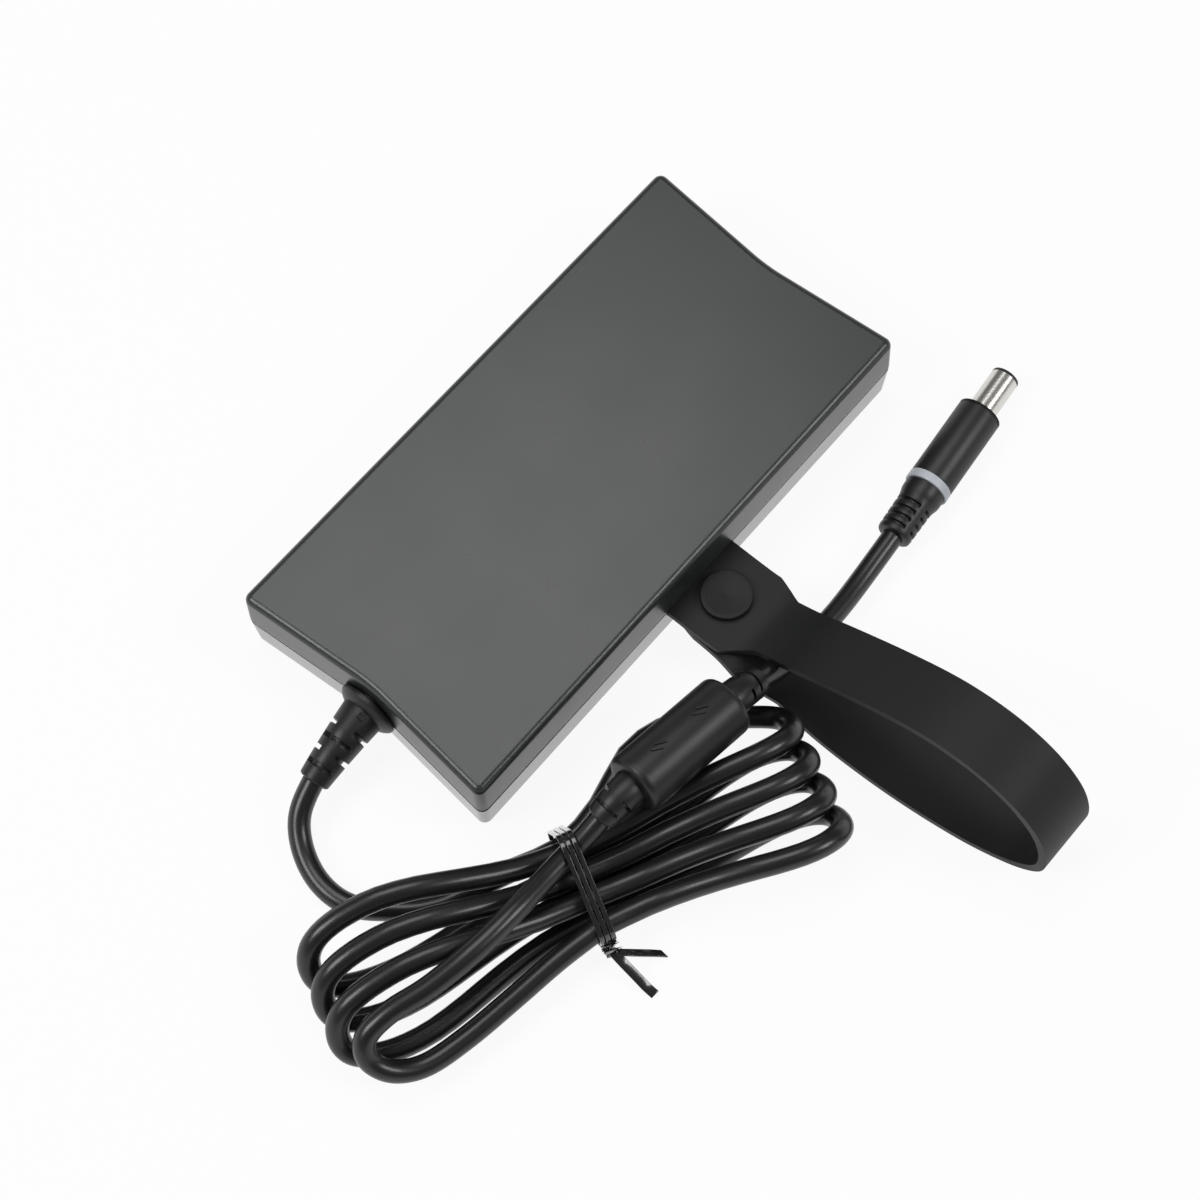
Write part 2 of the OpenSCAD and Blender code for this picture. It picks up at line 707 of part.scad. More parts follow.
module twist_tie() {
    color([0.05, 0.05, 0.05]) translate([hank_at[0], hank_at[1], 0]) rotate([0, 0, hank_turn]) {
        for (i = [-1:1]) translate([i * (tie_w + 0.2) - tie_w / 2, 0, 0]) rotate([90, 0, 90])
            linear_extrude(tie_w) difference() {
                waist_outline(tie_gap + tie_t);
                waist_outline(tie_gap);
            }
        // twisted knot and two tails
        translate([0, -17.2, 6.5]) rotate([90, 0, 0])
            linear_extrude(knot_l, twist = 360, slices = 12) square([2.6, 0.9], center = true);
        translate([0.5, -17.2 - knot_l, 6.7]) rotate([0, 26, -21]) tail(11.8);
        translate([0.2, -16.6 - knot_l, 6.3]) rotate([0, 21, -67]) tail(13.5);
        translate([-1.9, -18.1, 5]) cube([3.8, 1.4, 3]);
    }
}

module tail(length) {
    translate([0, -1.2, -0.35]) cube([length, 2.4, 0.7]);
}

// ---------------------------------------------------------------- bead

module on_bead() {
    translate(bead_at) rotate([0, bead_tilt, bead_turn]) children();
}

module bead_housing() {
    color([0.08, 0.08, 0.08]) on_bead() rotate([0, 90, 0]) rotate_extrude($fn = 72) difference() {
        union() {
            translate([0, -bead_l / 2 + bead_round]) square([bead_d / 2, bead_l - 2 * bead_round]);
            translate([0, -bead_l / 2]) square([bead_d / 2 - bead_round, bead_l]);
            for (s = [-1, 1])
                translate([bead_d / 2 - bead_round, s * (bead_l / 2 - bead_round)])
                    circle(r = bead_round, $fn = 48);
        }
        translate([-1, -ferrite_l / 2 - 0.1]) square([ferrite_d / 2 + 1.05, ferrite_l + 0.2]);
        translate([-1, -bead_l]) square([cord_r + 1.05, 2 * bead_l]);
    }
}

module ferrite_core() {
    color([0.2, 0.2, 0.22]) on_bead() rotate([0, 90, 0]) difference() {
        cylinder(d = ferrite_d, h = ferrite_l, center = true, $fn = 64);
        cylinder(d = cord_d + 0.6, h = 2 * ferrite_l, center = true, $fn = 48);
    }
}

module bead_cord() {
    color([0.07, 0.07, 0.07]) on_bead() rotate([0, 90, 0])
        cylinder(d = cord_d, h = bead_l, center = true, $fn = 48);
}

module bead_boot_near() {
    color([0.08, 0.08, 0.08]) translate(bead_at) rotate([0, -bead_tilt, bead_turn + 180])
        translate([bead_l / 2, 0, 0])
            boot(near_rings, boot_pitch, near_droop, bead_boot_root_d, boot_tip_d);
}

module bead_boot_far() {
    color([0.08, 0.08, 0.08]) on_bead() translate([bead_l / 2, 0, 0])
        boot(far_rings, boot_pitch, far_droop, bead_boot_root_d, boot_tip_d);
}

// ---------------------------------------------------------------- plug

plug_at = [-43, side_y + 27.7, grip_d / 2];     // rear end of the plug's boot
plug_turn = 185.8;
plug_front = plug_boot_l + ring_l + grip_l;
inner_wall = 0.35;
sleeve_wall = 0.4;
tip_ring = 0.9;
liner_r = socket_d / 2 + inner_wall;
sleeve_root = 6.5;              // length of the sleeve's narrow neck inside the grip
neck_r = sleeve_d / 2 - sleeve_wall - 0.05;
neck_wall = 0.2;

module on_plug(s) {
    translate(plug_at) rotate([0, 0, plug_turn]) translate([s, 0, 0]) rotate([0, 90, 0]) children();
}

function plug_spot(s) = place([s, 0, 0], plug_at, 0, plug_turn);

plug_cord_path = route(far_end, far_dir,
                       [for (p = [[2, 29.5, 9.9], [-5, 30, 9], [-12.5, 30.2, 8.6],
                                  [-20, 29.9, 6.8], [-29, 28.9, 5.4]]) p + [0, side_y, 0]],
                       plug_spot(0), plug_spot(-1) - plug_spot(0), 3);

module plug_cord() {
    echo(plug_cord_length = max(run_length(plug_cord_path)));
    color([0.07, 0.07, 0.07]) tube(plug_cord_path, cord_d, 8);
}

module plug_boot() {
    front_d = grip_d - 1.2;
    rear_d = 8.8;
    ribs = 4;
    rib_pitch = 2.3;
    color([0.09, 0.09, 0.09]) on_plug(0) difference() {
        union() {
            cylinder(d1 = rear_d, d2 = front_d, h = plug_boot_l - 3, $fn = 64);
            translate([0, 0, plug_boot_l - 3]) cylinder(d = front_d, h = 3, $fn = 64);
        }
        for (i = [0:ribs - 1]) translate([0, 0, 1.6 + i * rib_pitch]) difference() {
            cylinder(d = grip_d + 2, h = 1, $fn = 64);
            translate([0, 0, -1]) cylinder(d = cord_d + 0.8, h = 3, $fn = 48);
            translate([-8, -1.2, -1]) cube([16, 2.4, 3]);
        }
    }
}

module light_ring() {
    color([0.78, 0.8, 0.82]) on_plug(plug_boot_l) cylinder(d = grip_d, h = ring_l, $fn = 72);
}

module plug_grip() {
    soft = 1.2;
    color([0.08, 0.08, 0.08]) on_plug(plug_boot_l + ring_l) rotate_extrude($fn = 72) difference() {
        union() {
            square([grip_d / 2, grip_l - soft]);
            square([grip_d / 2 - soft, grip_l]);
            translate([grip_d / 2 - soft, grip_l - soft]) circle(r = soft, $fn = 48);
        }
        translate([-1, grip_l - 7]) square([neck_r + 1.02, 8]);
    }
}

module hollow(outer_r, inner_r, length) {
    difference() {
        cylinder(r = outer_r, h = length, $fn = 64);
        translate([0, 0, -1]) cylinder(r = inner_r, h = length + 2, $fn = 64);
    }
}

module plug_sleeve() {
    color([0.82, 0.82, 0.8]) {
        on_plug(plug_front) hollow(sleeve_d / 2, sleeve_d / 2 - sleeve_wall, sleeve_l);
        on_plug(plug_front) hollow(sleeve_d / 2 - 0.1, neck_r - neck_wall, sleeve_wall);
        on_plug(plug_front - sleeve_root)
            hollow(neck_r, neck_r - neck_wall, sleeve_root + sleeve_wall / 2);
    }
}

module plug_insulator() {
    color([0.05, 0.05, 0.05]) {
        on_plug(plug_front - sleeve_root)
            hollow(neck_r - neck_wall - 0.02, liner_r + 0.02, sleeve_root + 2 * sleeve_wall);
        on_plug(plug_front + sleeve_wall + 0.02)
            hollow(sleeve_d / 2 - sleeve_wall - 0.02, liner_r + 0.02, sleeve_l - sleeve_wall);
        on_plug(plug_front + sleeve_l) hollow(sleeve_d / 2, liner_r + 0.02, tip_ring);
    }
}

module plug_inner_sleeve() {
    color([0.75, 0.75, 0.72]) on_plug(plug_front - sleeve_root)
        hollow(liner_r, socket_d / 2, sleeve_root + sleeve_l + tip_ring - 0.4);
}

module plug_pin() {
    color([0.8, 0.75, 0.5]) on_plug(plug_front - sleeve_root - 0.4) {
        cylinder(d = socket_d - 0.04, h = 2, $fn = 48);
        cylinder(d = 0.7, h = sleeve_root + sleeve_l - 1, $fn = 24);
    }
}

// ---------------------------------------------------------------- strap

strap_x = -2;                                       // middle of the strap's root
strap_root_z = seam_z - seam_gap / 2 - strap_t / 2; // middle of its thickness in the wall
button_y = side_y + 8.2;
strap_under_z = strap_root_z - strap_t - run_gap;   // middle of the lower end's thickness
strap_low_z = strap_t / 2 + 0.08;                   // middle of the run that lies on the surface

// Middle line of the strap as x, distance from the wall, z and width: root, tab, loop, lower run
// and lower end
strap_line = [
    [strap_x, 0.3 - wall, strap_root_z, tab_w], [strap_x, 1.7, strap_root_z, tab_w],
    [strap_x, 8.2, strap_root_z, tab_w], [strap_x - 0.2, 15.2, strap_root_z, tab_w],
    [strap_x - 1, 19.2, strap_root_z + 0.2, (tab_w + band_w) / 2],
    [-3.5, 23.2, strap_root_z + 1.4, band_w], [-3.6, 29.7, 16.2, band_w],
    [-3.6, 38.7, 22.4, band_w], [-3.6, 52.7, 31.3, band_w], [-3.6, 65.7, 38.3, band_w],
    [-3.6, 75.7, 41.4, band_w], [-3.6, 85.7, 41.8, band_w], [-3.6, 94.7, 39, band_w],
    [-3.7, 101.7, 32.8, band_w], [-3.9, 105.3, 25, band_w], [-4.3, 106.3, 16, band_w],
    [-4.9, 104.3, 8, band_w], [-4.3, 98.7, 2.9, band_w], [-2.6, 89.7, strap_low_z + 0.17, band_w],
    [-1, 78.7, strap_low_z, band_w], [0.2, 65.7, strap_low_z, band_w],
    [0.7, 51.7, strap_low_z, band_w], [0.5, 40.7, strap_low_z + 0.32, band_w],
    [0, 33.2, 2.7, band_w], [-0.6, 27.7, 4.6, (tab_w + band_w) / 2],
    [-1.2, 21.7, 7, tab_w], [-1.7, 15.7, strap_under_z - 0.1, tab_w],
    [-2, 8.2, strap_under_z, tab_w], [-2, 4.7, strap_under_z, tab_w * 0.94],
    [-2, 2.3, strap_under_z, tab_w * 0.76], [-2, 1.1, strap_under_z, tab_w * 0.5]];
strap_points = [for (p = strap_line) [p[0], side_y + p[1], p[2], p[3]]];

function strap_ring(row, ahead) =
    let (across = [-1, 0, 0],
         up = unit(cross([0, ahead[1], ahead[2]], across)),
         w = row[3] / 2,
         t = strap_t / 2,
         c = 0.5)
    [for (q = [[w, -t + c], [w, t - c], [w - c, t], [-w + c, t], [-w, t - c], [-w, -t + c],
               [-w + c, -t], [w - c, -t]])
        [row[0], row[1], row[2]] + q[0] * across + q[1] * up];

module strap() {
    rows = spline(strap_points, 2);
    path = [for (r = rows) [r[0], r[1], r[2]]];
    color([0.09, 0.09, 0.09]) difference() {
        union() {
            skin([for (i = [0:len(rows) - 1]) strap_ring(rows[i], heading(path, i))]);
            // anchor bar behind the wall
            block([strap_x, inner_y - 1.7, strap_root_z - 2.2], [tab_w, 3, 4.4]);
            block([strap_x, inner_y - 0.2, strap_root_z - strap_t / 2], [tab_w, 2, strap_t]);
        }
        translate([strap_x, button_y, 0])
            cylinder(d = stem_d + 2 * run_gap, h = body_h, $fn = 48);
    }
}

module strap_button() {
    head_z = strap_root_z + strap_t / 2 + 0.1;
    head_t = 1.6;
    color([0.1, 0.1, 0.1]) translate([strap_x, button_y, 0]) {
        translate([0, 0, head_z]) rotate_extrude($fn = 72) difference() {
            union() {
                square([button_d / 2 - 0.5, head_t]);
                square([button_d / 2, head_t - 0.5]);
                translate([button_d / 2 - 0.5, head_t - 0.5]) circle(r = 0.5, $fn = 32);
            }
            translate([-1, -1]) square([1, head_t + 2]);
        }
        translate([0, 0, strap_under_z - strap_t / 2 - 0.6])
            cylinder(d = stem_d, h = head_z - strap_under_z + strap_t / 2 + 0.7, $fn = 48);
    }
}

// ---------------------------------------------------------------- nodes

bottom_cover();
top_cover();
inlet_housing();
inlet_pins();
earth_pin();
insulating_sheet();
circuit_board();
fuse();
noise_capacitors();
choke_core();
choke_windings();
bridge_rectifier();
primary_heatsink();
switching_transistors();
boost_choke_core();
boost_choke_winding();
bulk_capacitor();
transformer_core();
transformer_winding();
optocoupler();
control_chips();
output_heatsink();
output_rectifiers();
output_capacitors();
heatsink_screws();
heat_spreader();
output_wires();
dc_strain_relief();
lead_cord();
cord_hank();
twist_tie();
bead_housing();
ferrite_core();
bead_cord();
bead_boot_near();
bead_boot_far();
plug_cord();
plug_boot();
light_ring();
plug_grip();
plug_sleeve();
plug_insulator();
plug_inner_sleeve();
plug_pin();
strap();
strap_button();
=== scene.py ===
"""Laptop power adapter: camera, cords, housing, strap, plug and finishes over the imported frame."""
import json
from math import atan2, cos, degrees, pi, radians, sin, sqrt

import bmesh
import bpy
from mathutils import Matrix, Vector


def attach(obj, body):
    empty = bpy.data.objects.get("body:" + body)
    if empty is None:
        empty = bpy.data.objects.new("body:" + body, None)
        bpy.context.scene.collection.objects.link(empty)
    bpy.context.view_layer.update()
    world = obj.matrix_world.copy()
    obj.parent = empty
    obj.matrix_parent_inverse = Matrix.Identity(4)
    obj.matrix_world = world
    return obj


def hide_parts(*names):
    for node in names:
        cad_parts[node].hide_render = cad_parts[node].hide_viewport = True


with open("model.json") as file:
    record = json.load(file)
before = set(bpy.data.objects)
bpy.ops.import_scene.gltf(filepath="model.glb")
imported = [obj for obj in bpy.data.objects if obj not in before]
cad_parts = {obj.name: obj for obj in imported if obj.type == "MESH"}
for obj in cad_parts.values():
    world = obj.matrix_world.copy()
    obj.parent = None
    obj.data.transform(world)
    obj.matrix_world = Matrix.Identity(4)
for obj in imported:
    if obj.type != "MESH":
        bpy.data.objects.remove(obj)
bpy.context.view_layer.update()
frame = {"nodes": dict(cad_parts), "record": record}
bpy.ops.object.select_all(action="DESELECT")

MM = 0.001


def vec(*mm):
    """A point given in millimetres."""
    return Vector(mm) * MM


# ---------------------------------------------------------------- camera

EYE, LOOK_AT = vec(177.0, 172.4, 556.4), vec(14.798, 20.418, 0)
CAMERA_ROLL = -0.045
SENSOR_MM, FOCAL_PX, FRAME_PX = 36, 2423.89, 1200
CLIP_M = 0.01, 20


def aim_camera(eye, look_at, roll):
    """Adds the camera at the eye, rolled about its line of sight by so many radians."""
    forward = (look_at - eye).normalized()
    side = forward.cross(Vector((0, 0, 1))).normalized()
    up = side.cross(forward)
    right = side * cos(roll) + up * sin(roll)
    top = up * cos(roll) - side * sin(roll)
    bpy.ops.object.camera_add(location=eye)
    camera = bpy.context.object
    camera.name = "product_camera"
    turn = Matrix((right, top, -forward)).transposed().to_4x4()
    camera.matrix_world = Matrix.Translation(eye) @ turn
    camera.data.sensor_width = SENSOR_MM
    camera.data.lens = FOCAL_PX * SENSOR_MM / FRAME_PX
    camera.data.clip_start, camera.data.clip_end = CLIP_M
    bpy.context.scene.camera = camera


aim_camera(EYE, LOOK_AT, CAMERA_ROLL)

# ---------------------------------------------------------------- lines through points


def curve_through(points, steps):
    """Smooth line through the points, with that many steps between two of them."""
    last = len(points) - 1
    line = []
    for i in range(last):
        a, b, c, d = (Vector(points[k]) for k in (max(i - 1, 0), i, i + 1, min(i + 2, last)))
        for s in range(steps):
            f = s / steps
            line.append(0.5 * (2 * b + (c - a) * f + (2 * a - 5 * b + 4 * c - d) * f * f
                               + (3 * b - a - 3 * c + d) * f ** 3))
    line.append(Vector(points[last]))
    return line


def turned_to(point, tilt, turn):
    """A point turned by tilt about Y, nose down, and then by turn about Z."""
    x = point[0] * cos(radians(tilt)) + point[2] * sin(radians(tilt))
    z = point[2] * cos(radians(tilt)) - point[0] * sin(radians(tilt))
    return Vector((x * cos(radians(turn)) - point[1] * sin(radians(turn)),
                   x * sin(radians(turn)) + point[1] * cos(radians(turn)), z))


def boot_line(length, pitch, droop):
    """Point at that length on a boot's bent middle line: each pitch turns down by droop."""
    place, step = Vector((0, 0, 0)), 0
    while length > 1e-9:
        run = min(pitch, length)
        place += run * Vector((cos(radians(step * droop)), 0, -sin(radians(step * droop))))
        length -= run
        step += 1
    return place


def line_length(line):
    return sum((b - a).length for a, b in zip(line, line[1:]))


# ---------------------------------------------------------------- sizes, in millimetres

TOUCH = 0.01  # how near to a plane counts as on it
CORD = 5.5
HOUSING = dict(length=154.7, width=76.6, height=25.4, wall=2.2, end_v=3.2, corner=2.4,
               top_round=1.9, base_round=1.5, lean=0.5, seam=12.7, gap=0.3)
EXIT_X = HOUSING["length"] / 2 - HOUSING["end_v"]
MID_Z = HOUSING["height"] / 2
EXIT_WINDOW = dict(start=70.9, radius=6.35, length=6)
INLET = dict(front=-74.25, depth=15.3, back=2.6, half_width=14, low=2.7, high=22.7)
INLET_WINDOW = (-80, -14.15, 2.55), (-66, 14.15, 22.85)

EXIT_BOOT = dict(at=(EXIT_X + 2.2, 0, MID_Z), tilt=3, turn=4, rings=6, pitch=3.4, droop=2.6,
                 root=11.2, tip=7.8)
BEAD = dict(at=(36.6, 64.3, 22.8), turn=174.5, tilt=8, diameter=15.5, length=32)
NEAR_BOOT = dict(tilt=-8, turn=354.5, rings=4, pitch=2.5, droop=13, root=9.2, tip=7.8)
FAR_BOOT = dict(tilt=8, turn=174.5, rings=4, pitch=2.5, droop=10, root=9.2, tip=7.8)
PLUG = dict(at=(-43, 66, 5.8), turn=185.8, boot=15.3, ring=2.3, grip=23.4, grip_d=11.6,
            sleeve=11.5, sleeve_d=7.4)


def boot_end(boot, start):
    """Where a boot ends and the direction it points in."""
    end = boot_line(boot["rings"] * boot["pitch"], boot["pitch"], boot["droop"])
    place = Vector(start) + turned_to(end, boot["tilt"], boot["turn"])
    ahead = turned_to((1, 0, 0), boot["tilt"] + (boot["rings"] - 1) * boot["droop"], boot["turn"])
    return place, ahead


def bead_face(boot):
    return Vector(BEAD["at"]) + turned_to((BEAD["length"] / 2, 0, 0), boot["tilt"], boot["turn"])


EXIT_END, EXIT_AHEAD = boot_end(EXIT_BOOT, EXIT_BOOT["at"])
NEAR_END, NEAR_AHEAD = boot_end(NEAR_BOOT, bead_face(NEAR_BOOT))
FAR_END, FAR_AHEAD = boot_end(FAR_BOOT, bead_face(FAR_BOOT))


# ---------------------------------------------------------------- the hank's winding

HANK_X, HANK_Y, HANK_TURN = 72.7, 63.3, 155
LOOPS, PER_LOOP = 3.5, 48
# reach of a loop from the waist, step to the next loop, lean in degrees, shift sideways
NEAR_LOOPS, FAR_LOOPS = (65, 8.8, 130, 5), (61, 8.7, 50, 1.2)
WAIST_STEP, WAIST_SHIFT, WAIST_HALF, LOOP_HALF = 6.2, 2.5, 2.8, 10.4


def ease(x):
    """Smooth step from 0 to 1."""
    x = min(max(x, 0), 1)
    return x * x * (3 - 2 * x)


def hank_point(loop):
    """A point of the winding after that many loops: along, across and up from the waist."""
    phase = 2 * pi * loop + radians(15) * sin(4 * pi * loop)
    c = cos(phase)
    reach, step, lean, shift = NEAR_LOOPS if sin(phase) < 0 else FAR_LOOPS
    along = reach * sin(phase)
    half = WAIST_HALF + (LOOP_HALF - WAIST_HALF) * ease(abs(along - 6) / 55)
    s = -half * c / sqrt(c * c + 0.25) * sqrt(1.25)
    out = ease(abs(along) / reach * 1.1)
    lean = radians(90 + (lean - 90) * out)
    step = WAIST_STEP + (step - WAIST_STEP) * out
    shift = WAIST_SHIFT + (shift - WAIST_SHIFT) * out
    lift = sqrt(s * s + (9 * out) ** 2)
    loops = phase / (2 * pi)
    bow = 0
    if loops < 0.25:
        # the first strand leaves the waist in a bow, clear of the later ones
        bow = sin(pi * (max(along - 3, 0) / (reach - 3)) ** 0.8) ** 2
    return Vector((along, (loops - LOOPS / 2) * step + s * cos(lean) + shift - 12 * bow,
                   CORD / 2 + (lift + s) * sin(lean) + 1.3 * (1 - ease(abs(along) / 16))))


def from_hank(along, across, up):
    """A place given along, across and up from the hank's waist, in the part's frame."""
    turn = radians(HANK_TURN)
    return Vector((HANK_X + along * cos(turn) + across * sin(turn),
                   HANK_Y + along * sin(turn) - across * cos(turn), up))


def hank_line():
    """The winding, its last loop, and the way into the bead's near boot."""
    first, last = round(-1 / 24 * PER_LOOP), round(LOOPS * PER_LOOP)
    wound = [from_hank(*hank_point(i / PER_LOOP)) for i in range(first, last)]
    over = curve_through([from_hank(*p) for p in (
        (0, 14.3, 9.9), (-12, 17, 9), (-25, 20.8, 8), (-38, 24.5, 7.5), (-49, 26.6, 8),
        (-56.5, 25.3, 10), (-60.5, 21.3, 13.5), (-59, 17.3, 17.8), (-52, 15, 20.5),
        (-42, 13.8, 22), (-30, 10.8, 23.4), (-18, 6, 22.4), (-8, 1, 19.2), (0, -3, 17))], 4)
    back = (wound[0] - from_hank(*hank_point(0))).normalized()
    start = wound[0] + back * CORD
    return [start] + wound + over + [NEAR_END + NEAR_AHEAD * CORD, NEAR_END], back


def route(start, start_ahead, points, end, end_ahead, steps):
    """Line through the points that leaves both ends straight for one cord diameter."""
    middle = [start + start_ahead * CORD, *map(Vector, points), end + end_ahead * CORD]
    return [start] + curve_through(middle, steps) + [end]


HANK, HANK_BACK = hank_line()
LEAD = route(EXIT_END, EXIT_AHEAD, [(107.2, 5.8, 4.6), (111.6, 13, 3), (113.2, 21, 2.8),
                                    (111.5, 29, 2.8), (106.2, 35, 2.9)], HANK[0], HANK_BACK, 4)
PLUG_AHEAD = Vector((cos(radians(PLUG["turn"])), sin(radians(PLUG["turn"])), 0))
PLUG_ROUTE = route(FAR_END, FAR_AHEAD, [(2, 67.8, 9.9), (-5, 68.3, 9), (-12.5, 68.5, 8.6),
                                        (-20, 68.2, 6.8), (-29, 67.2, 5.4)],
                   Vector(PLUG["at"]), -PLUG_AHEAD, 4)


def cord_curve(name, line):
    """A round cord along a line in millimetres."""
    data = bpy.data.curves.new(name, "CURVE")
    data.dimensions = "3D"
    data.bevel_depth = CORD / 2 * MM
    data.bevel_resolution = 8
    data.resolution_u = 3
    data.use_fill_caps = True
    spline = data.splines.new("POLY")
    spline.points.add(len(line) - 1)
    for point, place in zip(spline.points, line):
        point.co = (*(Vector(place) * MM), 1)
    spline.use_smooth = True
    cord = bpy.data.objects.new(name, data)
    bpy.context.scene.collection.objects.link(cord)
    return cord


def eased_line(line, rounds):
    """Takes the small corners out of a line and keeps its ends."""
    for _ in range(rounds):
        line = line[:1] + [(a + 2 * b + c) / 4 for a, b, c in zip(line, line[1:], line[2:])] \
            + line[-1:]
    return line


LEAD_ROUNDS, PLUG_ROUNDS = 6, 14
dc_line = curve_through(eased_line(LEAD, LEAD_ROUNDS)[:-1] + HANK, 2)
plug_line = curve_through(eased_line(PLUG_ROUTE, PLUG_ROUNDS), 2)
dc_cord = cord_curve("dc_cord", dc_line)
plug_cord = cord_curve("plug_end_cord", plug_line)

# ---------------------------------------------------------------- shader values


class Value:
    """A shader socket that takes Python's arithmetic."""

    def __init__(self, finish, socket):
        self.finish, self.socket = finish, socket

    def _maths(self, operation, *values):
        return self.finish.node("ShaderNodeMath", {"operation": operation}, *values)

    def __add__(self, other):
        return self._maths("ADD", self, other)

    def __radd__(self, other):
        return self._maths("ADD", other, self)

    def __sub__(self, other):
        return self._maths("SUBTRACT", self, other)

    def __rmul__(self, other):
        return self._maths("MULTIPLY", other, self)


class Finish:
    """A material under construction."""

    def __init__(self, name):
        self.material = bpy.data.materials.new(name)
        self.material.use_nodes = True
        self.tree = self.material.node_tree
        self.shader = self.tree.nodes["Principled BSDF"]

    def feed(self, socket, value):
        if isinstance(value, Value):
            self.tree.links.new(value.socket, socket)
        elif value is not None:
            socket.default_value = value

    def node(self, kind, settings=None, *values, out=0, **named):
        """Adds a node, sets its settings, feeds its sockets and returns its output."""
        made = self.tree.nodes.new(kind)
        for key, value in (settings or {}).items():
            setattr(made, key, value)
        for socket, value in zip(made.inputs, values):
            self.feed(socket, value)
        for key, value in named.items():
            self.feed(made.inputs[key.replace("_", " ")], value)
        return Value(self, made.outputs[out])

    def surface(self, **sockets):
        for key, value in sockets.items():
            self.feed(self.shader.inputs[key.replace("_", " ")], value)
        return self.material

    def noise(self, scale, detail, rough):
        spot = self.node("ShaderNodeTexCoord", out="Object")
        return self.node("ShaderNodeTexNoise", None, spot, None, scale, detail, rough)

    def mix(self, share, low, high):
        made = self.tree.nodes.new("ShaderNodeMix")
        made.data_type = "RGBA"
        for socket, value in zip((made.inputs[0], made.inputs[6], made.inputs[7]),
                                 (share, low, high)):
            self.feed(socket, value)
        return Value(self, made.outputs[2])

    def bump(self, height, strength, depth):
        return self.node("ShaderNodeBump", None, Height=height, Strength=strength,
                         Distance=depth)


def grey(r, g=None, b=None):
    """A colour near grey; one number gives a neutral grey."""
    return (r, r if g is None else g, r if b is None else b, 1)


SMUDGES, WEAR, STREAKS = 45, 120, 900  # noise scales, per metre


def moulded(name, dark, light, rough, spark=0.0, grain=2600, depth=0.00003, coat=0.0,
            level=0.5):
    """Moulded plastic or rubber: fine spark-eroded grain, a slow drift of tone and sheen."""
    finish = Finish(name)
    drift = finish.noise(SMUDGES, 3, 0.55)
    fine = finish.noise(grain, 2, 0.6)
    colour = finish.mix(drift, dark, light)
    sheen = rough + 0.10 * (drift - 0.5) + spark * (fine - 0.5)
    return finish.surface(Base_Color=colour, Roughness=sheen, Coat_Weight=coat,
                          Coat_Roughness=0.12, Specular_IOR_Level=level,
                          Normal=finish.bump(fine, 0.35, depth))


def metal(name, colour, worn, rough):
    """Bare or plated metal with a slow drift of tone and fine streaks in its sheen."""
    finish = Finish(name)
    drift = finish.noise(WEAR, 4, 0.6)
    streak = finish.noise(STREAKS, 2, 0.5)
    return finish.surface(Base_Color=finish.mix(drift, colour, worn), Metallic=1.0,
                          Roughness=rough + 0.04 * (streak - 0.5) + 0.06 * (drift - 0.5),
                          Normal=finish.bump(streak, 0.15, 0.000001))


FINISHES = dict(
    upper_shell=moulded("satin_charcoal_top", grey(0.027, 0.029, 0.0295),
                        grey(0.034, 0.0365, 0.037), 0.3, 0.08, depth=0.000012),
    lower_shell=moulded("satin_charcoal_base", grey(0.03, 0.032, 0.032),
                        grey(0.038, 0.04, 0.04), 0.3, 0.08, depth=0.00001, coat=0.7),
    black_plastic=moulded("moulded_black", grey(0.0075), grey(0.011), 0.42, 0.05,
                          depth=0.000012),
    cord_jacket=moulded("cord_jacket", grey(0.0065, 0.007, 0.0068), grey(0.0095, 0.0102, 0.0098),
                        0.36, 0.0, 900, 0.0000008, coat=0.2),
    strap_rubber=moulded("strap_rubber", grey(0.0095, 0.0102, 0.0098),
                         grey(0.0125, 0.0135, 0.013), 0.56, 0.06, depth=0.000015, level=0.32),
    tie_black=moulded("tie_plastic", grey(0.008), grey(0.012), 0.18, 0.0, depth=0.000004,
                      coat=1.0),
    light_guide=moulded("frosted_light_guide", grey(0.46, 0.49, 0.53), grey(0.53, 0.56, 0.6),
                        0.4, 0.05),
    nickel=metal("nickel_plate", grey(0.74, 0.73, 0.7), grey(0.66, 0.64, 0.6), 0.26),
    component_black=moulded("component_black", grey(0.012), grey(0.018), 0.5, 0.05),
    ferrite=moulded("ferrite", grey(0.045), grey(0.06), 0.6, 0.1, 1400),
    copper_wire=metal("enamelled_copper", grey(0.45, 0.16, 0.05), grey(0.36, 0.12, 0.04), 0.3),
    winding_tape=moulded("winding_tape", grey(0.55, 0.42, 0.06), grey(0.6, 0.47, 0.08), 0.3),
    capacitor_yellow=moulded("capacitor_box", grey(0.6, 0.43, 0.05), grey(0.66, 0.48, 0.07), 0.35),
    capacitor_sleeve=moulded("capacitor_sleeve", grey(0.012, 0.015, 0.035),
                             grey(0.018, 0.02, 0.045), 0.25),
    board_green=moulded("solder_mask", grey(0.012, 0.09, 0.035), grey(0.016, 0.11, 0.045), 0.3),
    fish_paper=moulded("fish_paper", grey(0.5, 0.47, 0.38), grey(0.56, 0.53, 0.43), 0.8),
    aluminium=metal("mill_aluminium", grey(0.72, 0.73, 0.75), grey(0.66, 0.67, 0.69), 0.35),
    steel=metal("plated_steel", grey(0.62), grey(0.55), 0.3),
    wire_insulation=moulded("wire_insulation", grey(0.3, 0.015, 0.012), grey(0.36, 0.02, 0.015),
                            0.4))


def paint(piece, slot):
    piece.data.materials.clear()
    piece.data.materials.append(FINISHES[slot])


def finish_with(piece, slot):
    paint(piece, slot)


slot_of = {s["node"]: s["material_slot"] for s in frame["record"]["subparts"]}
for node, piece in frame["nodes"].items():
    paint(piece, slot_of[node])

# ---------------------------------------------------------------- modelling by hand


